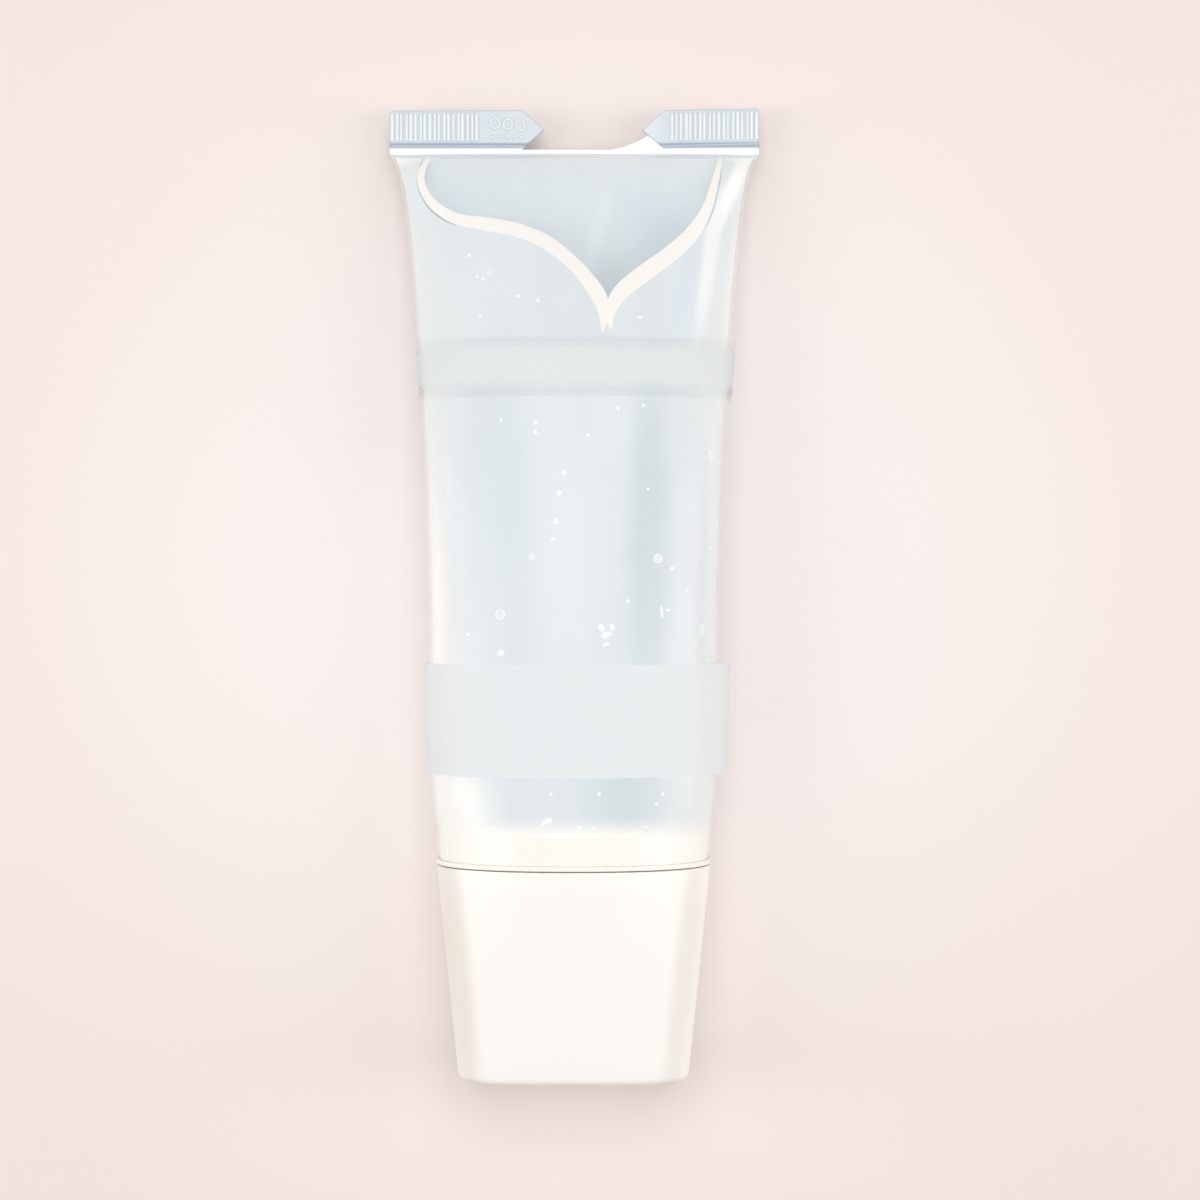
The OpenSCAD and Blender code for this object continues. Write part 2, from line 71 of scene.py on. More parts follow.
head_low, head_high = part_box("head")
sleeve_low, sleeve_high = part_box("sleeve")
shoulder_a = head_high[0]
shoulder_b = (head_high[2] - head_low[2]) / 2
axis_z = shoulder_b
shoulder_y = sleeve_low[1]
seal_y = shoulder_y + SLEEVE_LEN
seal_z = SEAL_LIFT + SEAL_HALF_T
seal_half_w = sleeve_high[0]


def ease(t):
    t = min(1, max(0, t))
    return t * t * (3 - 2 * t)


def oval_point(a, b, angle, power=OVAL_POWER):
    """A point of the tube's section, a squarish oval of half width a and half depth b."""
    c, s = math.cos(angle), math.sin(angle)
    return (math.copysign(a * abs(c) ** (2 / power), c), math.copysign(b * abs(s) ** (2 / power), s))


def body_a(s):
    """Half width of the sleeve at s from the shoulder."""
    u = min(1, max(0, s / SLEEVE_LEN))
    flare = SLOW_FLARE * u ** SLOW_POWER + (1 - SLOW_FLARE) * u ** QUICK_POWER
    swell = (WAIST_HALF_W - shoulder_a) * math.exp(-max(0, s - COLLAR_LEN) / SWELL_LEN)
    return WAIST_HALF_W + (seal_half_w - WAIST_HALF_W) * flare - swell


def opened(s):
    return (1 - math.exp((s - SLEEVE_LEN) / OPENING_LEN)) / (1 - math.exp(-SLEEVE_LEN / OPENING_LEN))


def body_b(s):
    """Half depth of the sleeve at s from the shoulder."""
    return SEAL_HALF_T + (shoulder_b - SEAL_HALF_T) * opened(s)


def body_z(s):
    """Height of the section's centre: the lying tube is pressed flat underneath and lifts to its seal."""
    pressed = SAG * (1 - math.exp(-max(0, s - COLLAR_LEN) / SAG_LEN)) * opened(s)
    lifted = SEAL_LIFT * ease((s / SLEEVE_LEN - RISE_FROM) / (1 - RISE_FROM)) ** 2
    return body_b(s) - pressed + lifted


def body_point(s, inset, angle, out=0):
    """A point of the sleeve at s from the shoulder, taken in by inset or moved out."""
    a = max(LEAST_HALF_W, body_a(s) - inset + out)
    b = max(LEAST_HALF_T, body_b(s) - inset + out)
    x, z = oval_point(a, b, angle)
    return Vector((x, shoulder_y + s, max(max(0, inset), body_z(s) + z)))


def body_ring(s, inset):
    return [body_point(s, inset, math.tau * i / AROUND) for i in range(AROUND)]


def steps_between(s0, s1, count, power=1.6):
    """Distances from s0 to s1, closer together towards s1."""
    return [s1 - (s1 - s0) * (1 - k / count) ** power for k in range(count + 1)]


def top_point(x, s, inset):
    """The point of the upper wall at x right of the axis and s from the shoulder."""
    a = body_a(s) - inset
    b = max(LEAST_HALF_T, body_b(s) - inset)
    reach = max(0, 1 - min(1, abs(x) / a) ** OVAL_POWER) ** (1 / OVAL_POWER)
    return Vector((x, shoulder_y + s, body_z(s) + b * reach))


def deselect():
    bpy.ops.object.select_all(action="DESELECT")


def edit_all(piece):
    """Opens a piece in edit mode with all of it selected."""
    deselect()
    piece.select_set(True)
    bpy.context.view_layer.objects.active = piece
    bpy.ops.object.mode_set(mode="EDIT")
    bpy.ops.mesh.select_all(action="SELECT")


def lofted(name, rings, closed=True):
    """A round primitive, cut along its length and drawn over rings of points."""
    around, levels = len(rings[0]), len(rings) - 1
    deselect()
    bpy.ops.mesh.primitive_cylinder_add(
        vertices=around, radius=1, depth=1, end_fill_type="NGON" if closed else "NOTHING"
    )
    piece = bpy.context.object
    piece.name = name
    bpy.ops.object.mode_set(mode="EDIT")
    bpy.ops.mesh.select_all(action="DESELECT")
    shape = bmesh.from_edit_mesh(piece.data)
    for edge in shape.edges:
        edge.select = abs(edge.verts[0].co.z - edge.verts[1].co.z) > 0.5
    if levels > 1:
        bpy.ops.mesh.subdivide(number_cuts=levels - 1)
    bpy.ops.object.mode_set(mode="OBJECT")
    for vertex in piece.data.vertices:
        turn = math.atan2(vertex.co.y, vertex.co.x) / math.tau
        vertex.co = rings[round((vertex.co.z + 0.5) * levels)][round(turn * around) % around]
    edit_all(piece)
    bpy.ops.mesh.remove_doubles(threshold=MERGE)
    bpy.ops.mesh.normals_make_consistent(inside=False)
    bpy.ops.object.mode_set(mode="OBJECT")
    return piece


def apply_modifier(piece, kind, **settings):
    """Adds a modifier to a piece and applies it."""
    deselect()
    piece.select_set(True)
    bpy.context.view_layer.objects.active = piece
    modifier = piece.modifiers.new(kind.title(), kind)
    for setting, value in settings.items():
        setattr(modifier, setting, value)
    bpy.ops.object.modifier_apply(modifier=modifier.name)


def finish_piece(piece, material, body, sharp=40):
    """Gives a piece its material, smooth shading and body."""
    piece.data.materials.clear()
    piece.data.materials.append(material)
    deselect()
    piece.select_set(True)
    bpy.context.view_layer.objects.active = piece
    bpy.ops.object.shade_smooth_by_angle(angle=math.radians(sharp))
    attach(piece, body)


def tone(red, green, blue):
    """A colour of the surface, given as 0 to 255, as a shader takes it."""
    linear = [v / 255 / 12.92 if v < 11 else ((v / 255 + 0.055) / 1.055) ** 2.4 for v in (red, green, blue)]
    return (*linear, 1)


def new_material(name, **values):
    """A material with one Principled shader, whose plain sockets are set by name."""
    material = bpy.data.materials.new(name)
    material.use_nodes = True
    shader = material.node_tree.nodes["Principled BSDF"]
    for socket, value in values.items():
        shader.inputs[socket.replace("_", " ")].default_value = value
    return material, material.node_tree, shader


def add_node(tree, kind, settings=None, **inputs):
    """A shader node with its settings and its inputs set or linked."""
    node = tree.nodes.new("ShaderNode" + kind)
    for setting, value in (settings or {}).items():
        setattr(node, setting, value)
    for socket, value in inputs.items():
        target = node.inputs[int(socket[1:])] if socket[0] == "i" and socket[1:].isdigit() else (
            node.inputs[socket.replace("_", " ")])
        if isinstance(value, bpy.types.NodeSocket):
            tree.links.new(value, target)
        else:
            target.default_value = value
    return node


def place_of(tree):
    """The place on the object that a material's pattern follows."""
    return add_node(tree, "TexCoord").outputs["Object"]


def blended(tree, share, low, high):
    """The colour at a share, from 0 to 1, of the way from low to high."""
    return add_node(tree, "Mix", {"data_type": "RGBA"}, Factor=share, i6=low, i7=high).outputs[2]


def mottled(tree, scale, detail, low, high):
    """A colour that drifts softly between two tones over the piece."""
    cloud = add_node(tree, "TexNoise", Vector=place_of(tree), Scale=scale, Detail=detail)
    return blended(tree, cloud.outputs["Fac"], low, high)


def make_band_group():
    """Mask of a soft streak along the tube: 1 in its middle, 0 outside, and it may lean."""
    group = bpy.data.node_groups.new("soft streak", "ShaderNodeTree")
    group.interface.new_socket("Place", in_out="INPUT", socket_type="NodeSocketVector")
    for name in ("Centre X", "Centre Y", "Half Width", "Half Length", "Lean"):
        group.interface.new_socket(name, in_out="INPUT", socket_type="NodeSocketFloat")
    group.interface.new_socket("Mask", in_out="OUTPUT", socket_type="NodeSocketFloat")
    given = group.nodes.new("NodeGroupInput").outputs
    split = add_node(group, "SeparateXYZ", Vector=given["Place"])
    along = add_node(group, "Math", {"operation": "SUBTRACT"}, i0=split.outputs["Y"], i1=given["Centre Y"])
    shift = add_node(group, "Math", {"operation": "MULTIPLY_ADD"}, i0=along.outputs[0], i1=given["Lean"],
                     i2=given["Centre X"])
    across = add_node(group, "Math", {"operation": "SUBTRACT"}, i0=split.outputs["X"], i1=shift.outputs[0])
    wide = add_node(group, "Math", {"operation": "DIVIDE"}, i0=across.outputs[0], i1=given["Half Width"])
    long = add_node(group, "Math", {"operation": "DIVIDE"}, i0=along.outputs[0], i1=given["Half Length"])
    far = add_node(group, "CombineXYZ", X=wide.outputs[0], Y=long.outputs[0])
    reach = add_node(group, "VectorMath", {"operation": "LENGTH"}, i0=far.outputs[0])
    mask = add_node(group, "MapRange", {"interpolation_type": "SMOOTHERSTEP"}, Value=reach.outputs["Value"],
                    From_Min=0.15, From_Max=1, To_Min=1, To_Max=0)
    result = group.nodes.new("NodeGroupOutput")
    group.links.new(mask.outputs["Result"], result.inputs["Mask"])
    return group


SOFT_STREAK = make_band_group()


def streaked(tree, colour, streaks):
    """Mixes soft streaks into a colour, some of them painted shade or painted highlights. Each is (x, y, half
    width, half length, lean, tone, strength).
    """
    place = place_of(tree)
    for x, y, half_w, half_l, lean, streak_tone, strength in streaks:
        mask = add_node(tree, "Group", {"node_tree": SOFT_STREAK}, Place=place, Centre_X=x * MM,
                        Centre_Y=y * MM, Half_Width=half_w * MM, Half_Length=half_l * MM, Lean=lean)
        amount = add_node(tree, "Math", {"operation": "MULTIPLY"}, i0=mask.outputs["Mask"], i1=strength)
        colour = blended(tree, amount.outputs[0], colour, streak_tone)
    return colour


def set_cover(tree, shader, cover):
    """Sets how much a thin film covers. It hardly dims the light that falls through it."""
    path = add_node(tree, "LightPath")
    lit = add_node(tree, "Math", {"operation": "MAXIMUM"}, i0=path.outputs["Is Shadow Ray"],
                   i1=path.outputs["Is Diffuse Ray"])
    passed = add_node(tree, "Math", {"operation": "SUBTRACT"}, i0=1.0, i1=lit.outputs[0])
    shown = add_node(tree, "Math", {"operation": "MULTIPLY"}, i0=cover, i1=passed.outputs[0])
    tree.links.new(shown.outputs[0], shader.inputs["Alpha"])


def make_film():
    """Clear glossy film: seen edge on it turns milky, and face on it lets the gel show."""
    material, tree, shader = new_material("clear film", Roughness=0.1, IOR=1.48)
    place = place_of(tree)
    drawn = add_node(tree, "Mapping", {"vector_type": "POINT"}, Vector=place, Scale=(1, 0.12, 1))
    waves = add_node(tree, "TexNoise", Vector=drawn.outputs[0], Scale=260, Detail=3, Roughness=0.5)
    bump = add_node(tree, "Bump", Height=waves.outputs["Fac"], Strength=0.05, Distance=0.4 * MM)
    tree.links.new(bump.outputs["Normal"], shader.inputs["Normal"])
    split = add_node(tree, "SeparateXYZ", Vector=place)
    weld = add_node(tree, "MapRange", {"interpolation_type": "SMOOTHSTEP"}, Value=split.outputs["Y"],
                    From_Min=seal_y - CAVITY_END - WELD_FADE, From_Max=seal_y - CAVITY_END)
    colour = blended(tree, weld.outputs["Result"], tone(252, 252, 250), tone(228, 235, 240))
    tree.links.new(colour, shader.inputs["Base Color"])
    edge = add_node(tree, "LayerWeight", Blend=0.3)
    face_on = add_node(tree, "MapRange", Value=edge.outputs["Facing"], From_Min=0, From_Max=1,
                       To_Min=0.03, To_Max=0.75)
    cover = add_node(tree, "MapRange", Value=weld.outputs["Result"], To_Min=face_on.outputs["Result"],
                     To_Max=0.9)
    set_cover(tree, shader, cover.outputs["Result"])
    return material


CLEAR_FILM = make_film()
outer_wall = [body_ring(s, 0) for s in steps_between(0, SLEEVE_LEN, 90)]
inner_wall = [body_ring(s, SLEEVE_WALL) for s in steps_between(0, SLEEVE_LEN - CAVITY_END, 60)]
sleeve_film = lofted("sleeve_film", inner_wall[::-1] + outer_wall)
finish_piece(sleeve_film, CLEAR_FILM, "tube", sharp=50)
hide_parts("sleeve")

# End seal
# Both walls of the sleeve welded together by a ribbed jaw. A notch divides the seal into two pointed tabs
# above a plain strip, and the jaw's edge leaves a groove along the foot of each tab.
SEAL_H = 7.4 * MM
STRIP_H = 0.7 * MM
SEAL_BITE = 0.4 * MM
TAB_POINT = 3.8 * MM
LEFT_TAB_LEN = 22.6 * MM
RIGHT_TAB_LEN = 16.2 * MM
RIGHT_TAB_RISE = 0.35 * MM
TAB_CORNER = 0.7 * MM
EDGE_ROUND = 0.22 * MM
GROOVE_FROM = 0.9 * MM
GROOVE_H = 0.8 * MM
GROOVE_DEPTH = 0.15 * MM
RIB_PITCH = 0.8 * MM
RIB_H = 0.2 * MM
RIB_COUNT = 19
RIB_FOOT = 1.9 * MM
RIB_FOOT_EASE = 0.4 * MM
RIB_TOP_GAP = 0.35 * MM
RIB_TOP_EASE = 0.5 * MM
GROOVE_EASE = 0.2 * MM
# Shares of the pitch: a rib's middle and half width, and how far each drifts from rib to rib
RIB_MIDDLE, RIB_MIDDLE_DRIFT = 0.62, 0.1
RIB_HALF_W, RIB_HALF_W_DRIFT = 0.36, 0.06
# The marks' places run from the left tab's outer edge and from the seal's start
MARK_H = 0.14 * MM
MARK_R = 0.85 * MM
MARK_LINE = 0.22 * MM
MARK_SQUEEZE = 1.15
RING_COUNT = 3
RING_X, RING_Y = 18 * MM, 5.1 * MM
RING_STEP_X, RING_STEP_Y = 2.15 * MM, -0.15 * MM
PIP_COUNT = 5
PIP_R = 0.36 * MM
PIP_X, PIP_Y = 17.4 * MM, 2.75 * MM
PIP_STEP_X, PIP_STEP_Y = 1.25 * MM, 0.1 * MM
# How soon the tab's edge rounds at its point, against its straight edges
POINT_SLOPE = 0.72
GRID_STEP = 0.11 * MM


def grid_piece(name, columns, rows, place):
    """A flat grid whose points are moved to place(u, v), with u and v from 0 to 1."""
    deselect()
    bpy.ops.mesh.primitive_grid_add(x_subdivisions=columns, y_subdivisions=rows, size=1)
    piece = bpy.context.object
    piece.name = name
    for vertex in piece.data.vertices:
        vertex.co = place(vertex.co.x + 0.5, vertex.co.y + 0.5)
    return piece


def rounded_edge(distance):
    """Share of the full thickness at a distance from a plate's edge."""
    t = 1 - min(1, max(0, distance) / EDGE_ROUND)
    return math.sqrt(1 - t * t)


def rib_height(x, y):
    """Height of the ribs at x from the tab's outer edge and y above the seal's start."""
    i = math.floor(x / RIB_PITCH)
    if not 0 <= i < RIB_COUNT:
        return 0
    middle = (i + RIB_MIDDLE + RIB_MIDDLE_DRIFT * math.sin(2.4 * i)) * RIB_PITCH
    half_w = (RIB_HALF_W + RIB_HALF_W_DRIFT * math.sin(1.7 * i + 1)) * RIB_PITCH
    across = max(0, 1 - ((x - middle) / half_w) ** 2)
    ends = ease((SEAL_H - RIB_TOP_GAP - y) / RIB_TOP_EASE) * ease((y - RIB_FOOT) / RIB_FOOT_EASE)
    return RIB_H * across * ends


def mark_height(x, y):
    """Height of the three plain rings and the row of pips pressed into the left tab."""
    height = 0
    for i in range(RING_COUNT):
        ring_x, ring_y = RING_X + RING_STEP_X * i, RING_Y + RING_STEP_Y * i
        off = abs(math.hypot((x - ring_x) * MARK_SQUEEZE, y - ring_y) - MARK_R)
        height = max(height, MARK_H * (1 - (off / MARK_LINE) ** 2))
    for i in range(PIP_COUNT):
        pip_x, pip_y = PIP_X + PIP_STEP_X * i, PIP_Y + PIP_STEP_Y * (i % 2)
        off = math.hypot(x - pip_x, y - pip_y) / PIP_R
        height = max(height, MARK_H * (1 - off ** 2))
    return max(0, height)


def tab_point_at(length, side, rise, marked):
    """Rule for one tab: u runs from its outer edge to its point, v from its foot to its top edge."""
    middle = (SEAL_H + STRIP_H) / 2

    def place(u, v):
        y = -SEAL_BITE + v * (SEAL_H + SEAL_BITE)
        if y > middle:
            tip = length + TAB_POINT * (SEAL_H - y) / (SEAL_H - middle)
        elif y > STRIP_H:
            tip = length + TAB_POINT * (y - STRIP_H) / (middle - STRIP_H)
        else:
            tip = length
        near = max(0, TAB_CORNER - (SEAL_H - y))
        start = TAB_CORNER - math.sqrt(max(0, TAB_CORNER ** 2 - near ** 2))
        x = start + u * (tip - start)
        edge = min(x - start, (tip - x) * POINT_SLOPE, SEAL_H - y)
        full = SEAL_HALF_T + rib_height(x, y) + (mark_height(x, y) if marked else 0)
        in_groove = ease((y - GROOVE_FROM) / GROOVE_EASE)
        in_groove *= ease((GROOVE_FROM + GROOVE_H - y) / GROOVE_EASE)
        full -= GROOVE_DEPTH * in_groove
        foot = 0 if v <= 0 else 1
        z = full * rounded_edge(edge) * foot
        lift = rise * (1 - x / length)
        return Vector((side * (seal_half_w - x), seal_y + y + lift, seal_z + z))

    return place


def mirrored_plate(piece, inside_out):
    """Closes a plate by its mirror image under the seal's middle plane."""
    edit_all(piece)
    if inside_out:
        bpy.ops.mesh.flip_normals()
    bpy.ops.mesh.duplicate()
    bpy.ops.transform.resize(
        value=(1, 1, -1), center_override=(0, 0, seal_z), orient_type="GLOBAL",
        constraint_axis=(False, False, True)
    )
    bpy.ops.mesh.select_all(action="SELECT")
    bpy.ops.mesh.remove_doubles(threshold=MERGE)
    bpy.ops.mesh.normals_make_consistent(inside=False)
    bpy.ops.object.mode_set(mode="OBJECT")


def make_welded_film():
    """Film made milky by the weld, with a painted highlight on its crests, painted shade in the jaw's groove,
    and a shade darker at the plain tips.
    """
    material, tree, shader = new_material("welded film", Roughness=0.28, IOR=1.48, Coat_Weight=0.35,
                                          Coat_Roughness=0.12)
    place = place_of(tree)
    grain = add_node(tree, "TexNoise", Vector=place, Scale=900, Detail=4, Roughness=0.6)
    pale = mottled(tree, 160, 2, tone(198, 208, 214), tone(206, 214, 220))
    split = add_node(tree, "SeparateXYZ", Vector=place)
    # Painted highlight: the crests of the ribs and marks are painted lighter the higher they stand.
    level = add_node(tree, "Math", {"operation": "SUBTRACT"}, i0=split.outputs["Z"], i1=seal_z)
    height = add_node(tree, "Math", {"operation": "ABSOLUTE"}, i0=level.outputs[0])
    crest = add_node(tree, "MapRange", Value=height.outputs[0], From_Min=SEAL_HALF_T + 0.02 * MM,
                     From_Max=SEAL_HALF_T + 0.9 * MARK_H)
    painted_crest_highlight = blended(tree, crest.outputs["Result"], pale, tone(238, 243, 245))
    groove_y = (seal_y + GROOVE_FROM + GROOVE_H / 2) / MM
    strip_y = (seal_y + 0.3 * MM) / MM
    colour = streaked(tree, painted_crest_highlight, [
        # Painted shade: the jaw's groove along the foot of each tab is painted dark.
        (-seal_half_w / MM + 11, groove_y, 60, 0.9, 0, tone(168, 180, 194), 1),
        (seal_half_w / MM - 8, groove_y, 60, 0.9, 0, tone(168, 180, 194), 1),
        (-6.6, seal_y / MM + 4, 2.2, 4, 0, tone(203, 211, 220), 0.8),
        (13, seal_y / MM + 4, 2.6, 4, 0, tone(212, 218, 225), 0.7),
        (0, strip_y, 200, 1.0, 0, tone(255, 254, 252), 1),
    ])
    tree.links.new(colour, shader.inputs["Base Color"])
    bump = add_node(tree, "Bump", Height=grain.outputs["Fac"], Strength=0.15, Distance=0.1 * MM)
    tree.links.new(bump.outputs["Normal"], shader.inputs["Normal"])
    return material


WELDED_FILM = make_welded_film()


def add_tab(name, length, side, rise, marked):
    columns = round((length + TAB_POINT) / GRID_STEP)
    rows = round((SEAL_H + SEAL_BITE) / GRID_STEP)
    tab = grid_piece(name, columns, rows, tab_point_at(length, side, rise, marked))
    mirrored_plate(tab, side > 0)
    finish_piece(tab, WELDED_FILM, "tube", sharp=60)


add_tab("seal_tab_left", LEFT_TAB_LEN, -1, 0, True)
add_tab("seal_tab_right", RIGHT_TAB_LEN, 1, RIGHT_TAB_RISE, False)

# Strip and web of the seal
# The plain weld that closes the sleeve under the notch, and the thin web of film that the cutter left in
# the notch's right corner.
WEB_LEN = 11 * MM
WEB_RISE_LEN = 7.8 * MM
WEB_H = 2.4 * MM
STRIP_WAVE = 0.75 * MM
STRIP_WAVE_X = 8 * MM
STRIP_WAVE_LEN = 4 * MM
STRIP_INSET = 0.1 * MM
STRIP_OVER = 0.05 * MM
STRIP_PROUD = 0.03 * MM
WEB_UNDER = 0.3 * MM


def strip_point(u, v):
    """The strip runs from the left edge to the right one, and its foot dips a little under the notch."""
    x = -seal_half_w + STRIP_INSET + u * 2 * (seal_half_w - STRIP_INSET)
    dip = STRIP_WAVE * math.exp(-((x - STRIP_WAVE_X) / STRIP_WAVE_LEN) ** 2)
    top = STRIP_H + STRIP_OVER
    y = -SEAL_BITE - dip + v * (top + SEAL_BITE + dip)
    edge = min(top - y, x + seal_half_w, seal_half_w - x)
    z = (SEAL_HALF_T + STRIP_PROUD) * rounded_edge(edge) * (0 if v <= 0 else 1)
    return Vector((x, seal_y + y, seal_z + z))


def web_point(u, v):
    """The web's free edge curves from the strip up to the right tab's point."""
    right = seal_half_w - RIGHT_TAB_LEN + WEB_UNDER
    x = right - WEB_LEN + u * WEB_LEN
    top = STRIP_H + WEB_H * min(1, u * WEB_LEN / WEB_RISE_LEN) ** 2
    y = v * top
    z = 0.5 * SEAL_HALF_T * rounded_edge(top - y) * (0 if v <= 0 else 1)
    return Vector((x, seal_y + y, seal_z + z))


def make_web_film():
    """The web's film, stretched to a creamy white."""
    material, tree, shader = new_material("stretched film", Roughness=0.4, IOR=1.48, Coat_Weight=0.3)
    colour = mottled(tree, 700, 3, tone(244, 240, 232), tone(254, 251, 245))
    tree.links.new(colour, shader.inputs["Base Color"])
    return material


seal_strip = grid_piece("seal_strip", 240, 12, strip_point)
mirrored_plate(seal_strip, False)
finish_piece(seal_strip, WELDED_FILM, "tube", sharp=60)
seal_web = grid_piece("seal_web", 60, 20, web_point)
mirrored_plate(seal_web, False)
finish_piece(seal_web, make_web_film(), "tube", sharp=60)

# Head
# One white moulding: the collar that the sleeve is welded to, the flange, the sloping shoulder and the
# neck with its thread and orifice. The collar shows through the film as a white band.
HEAD_WALL = 1.2 * MM
FLANGE_T = 0.8 * MM
FLANGE_ROUND = 0.05 * MM
GEL_GAP = 0.05 * MM
SHOULDER_H = 4 * MM
SHOULDER_CLEAR = 1.9 * MM
NECK_R = 7.5 * MM
NECK_ROOT_R = 10.5 * MM
NECK_BORE_R = 5.3 * MM
NECK_END_T = 1.2 * MM
ORIFICE_R = 2.5 * MM
THREAD_PITCH = 3 * MM
THREAD_H = 1.1 * MM
THREAD_W = 1.3 * MM
THREAD_END = 1.6 * MM
THREAD_SUNK = 0.2 * MM
CREST_W = 0.7 * MM
CREST_EASE = 0.12 * MM
CREST_ROUND = 0.24
THREAD_STEPS = 60
COLLAR_STEP = 0.6 * MM
NECK_FILLET = 0.5 * MM
NECK_CHAMFER = 0.4 * MM
neck_top_y = head_low[1]
thread_end_y = neck_top_y + THREAD_END
flange_y = shoulder_y - FLANGE_T
neck_base_y = flange_y - SHOULDER_H


def oval_ring(a, b, y, power=OVAL_POWER):
    """A ring of the tube's section across Y, on the cap's axis."""
    points = [oval_point(a, b, math.tau * i / AROUND, power) for i in range(AROUND)]
    return [Vector((px, y, axis_z + pz)) for px, pz in points]


def round_ring(r, y):
    angles = [math.tau * i / AROUND for i in range(AROUND)]
    return [Vector((r * math.cos(t), y, axis_z + r * math.sin(t))) for t in angles]


def between(ring_a, ring_b, count):
    """Rings spread evenly after ring_a, up to and with ring_b."""
    return [[p.lerp(q, k / count) for p, q in zip(ring_a, ring_b)] for k in range(1, count + 1)]


def helical_ridge(name, start_y, turns, root_r, crest_r):
    """A thread ridge on the cap's axis, with ends that fade into its wall."""
    count = round(turns * THREAD_STEPS)
    rings = []
    for k in range(count + 1):
        angle = math.tau * k / THREAD_STEPS
        y = start_y - THREAD_PITCH * k / THREAD_STEPS
        grown = 0.1 + 0.9 * ease(min(k, count - k) / (0.2 * THREAD_STEPS))
        tip_r = root_r + (crest_r - root_r) * grown
        edge_r = tip_r - CREST_ROUND * (tip_r - root_r)
        section = (
            (root_r, -THREAD_W / 2),
            (edge_r, -CREST_W / 2 - CREST_EASE / 2),
            (tip_r, -CREST_W / 2 + CREST_EASE),
            (tip_r, CREST_W / 2 - CREST_EASE),
            (edge_r, CREST_W / 2 + CREST_EASE / 2),
            (root_r, THREAD_W / 2),
            (root_r, THREAD_W / 6),
            (root_r, -THREAD_W / 6),
        )
        c, s = math.cos(angle), math.sin(angle)
        rings.append([Vector((r * c, y + off, axis_z + r * s)) for r, off in section])
    return lofted(name, rings)


def make_head_white():
    """Smooth white moulding, faintly mottled where it cooled."""
    material, tree, shader = new_material("head white", Roughness=0.34, IOR=1.5)
    colour = mottled(tree, 120, 3, tone(246, 243, 237), tone(253, 251, 246))
    tree.links.new(colour, shader.inputs["Base Color"])
    return material


HEAD_WHITE = make_head_white()
collar_a = shoulder_a - SLEEVE_WALL - GEL_GAP
collar_b = shoulder_b - SLEEVE_WALL - GEL_GAP
collar_end_y = shoulder_y + COLLAR_LEN
shoulder_r = shoulder_b - SHOULDER_CLEAR
head_rings = [
    oval_ring(collar_a - HEAD_WALL, collar_b - HEAD_WALL, shoulder_y + COLLAR_STEP),
    oval_ring(collar_a - HEAD_WALL, collar_b - HEAD_WALL, collar_end_y),
    oval_ring(collar_a, collar_b, collar_end_y),
    oval_ring(collar_a, collar_b, shoulder_y),
    oval_ring(shoulder_a - FLANGE_ROUND, shoulder_b - FLANGE_ROUND, shoulder_y),
    oval_ring(shoulder_a, shoulder_b, shoulder_y - FLANGE_ROUND),
    oval_ring(shoulder_a, shoulder_b, flange_y + FLANGE_ROUND),
    oval_ring(shoulder_a - FLANGE_ROUND, shoulder_b - FLANGE_ROUND, flange_y),
    round_ring(shoulder_r, flange_y),
]
head_rings += between(head_rings[-1], round_ring(NECK_ROOT_R, neck_base_y), 6)
head_rings += [
    round_ring(NECK_R + NECK_FILLET, neck_base_y),
    round_ring(NECK_R, neck_base_y - NECK_FILLET),
    round_ring(NECK_R, neck_top_y + NECK_CHAMFER),
    round_ring(NECK_R - NECK_CHAMFER, neck_top_y),
    round_ring(ORIFICE_R, neck_top_y),
    round_ring(ORIFICE_R, neck_top_y + NECK_END_T),
    round_ring(NECK_BORE_R, neck_top_y + NECK_END_T),
    round_ring(NECK_BORE_R, neck_base_y + HEAD_WALL),
    round_ring(NECK_ROOT_R - HEAD_WALL, neck_base_y + HEAD_WALL),
    round_ring(shoulder_r - HEAD_WALL, shoulder_y),
    oval_ring(collar_a - HEAD_WALL, collar_b - HEAD_WALL, shoulder_y),
    oval_ring(collar_a - HEAD_WALL, collar_b - HEAD_WALL, shoulder_y + COLLAR_STEP),
]
head_moulding = lofted("head_moulding", head_rings, closed=False)
finish_piece(head_moulding, HEAD_WHITE, "tube", sharp=30)
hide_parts("head")
neck_thread = helical_ridge(
    "neck_thread", thread_end_y + 2 * THREAD_PITCH, 2, NECK_R - THREAD_SUNK, NECK_R + THREAD_H)
finish_piece(neck_thread, HEAD_WHITE, "tube", sharp=35)

# Cap
# A white moulded screw cap: one tapered oval shell round a threaded skirt, a well and four ribs.
CAP_LEN = 35.2 * MM
CAP_END_HALF_W = 18.9 * MM
CAP_END_HALF_DEPTH = 10.5 * MM
CAP_END_POWER = 4
CAP_WALL = 1.4 * MM
CAP_EDGE_R = 1.3 * MM
RIM_ROUND = 0.05 * MM
SKIRT_R = 8.95 * MM
SKIRT_OUT_R = 10.25 * MM
WELL_R = 5.5 * MM
CAP_RIB_T = 1.1 * MM
CAP_RIB_BACK = 2 * MM
CAP_RIB_SUNK = 0.3 * MM
CAP_RIB_INNER = 0.6 * MM
CAP_END_R = 7 * MM
AXIS_R = 0.01 * MM
cap_low, cap_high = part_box("cap")
cap_rim_y = cap_high[1]
cap_end_y = cap_low[1]
cap_floor_y = cap_end_y + CAP_WALL
skirt_mouth_y = neck_base_y - 1 * MM
skirt_top_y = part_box("cap_liner")[0][1]


def cap_ring(d, inset):
    """A ring of the cap at d from its rim, taken in by inset. The closed end is flatter and squarer."""
    t = d / CAP_LEN
    a = shoulder_a + (CAP_END_HALF_W - shoulder_a) * t
    b = shoulder_b + (CAP_END_HALF_DEPTH - shoulder_b) * t
    return oval_ring(a - inset, b - inset, cap_rim_y - d, OVAL_POWER + (CAP_END_POWER - OVAL_POWER) * t)


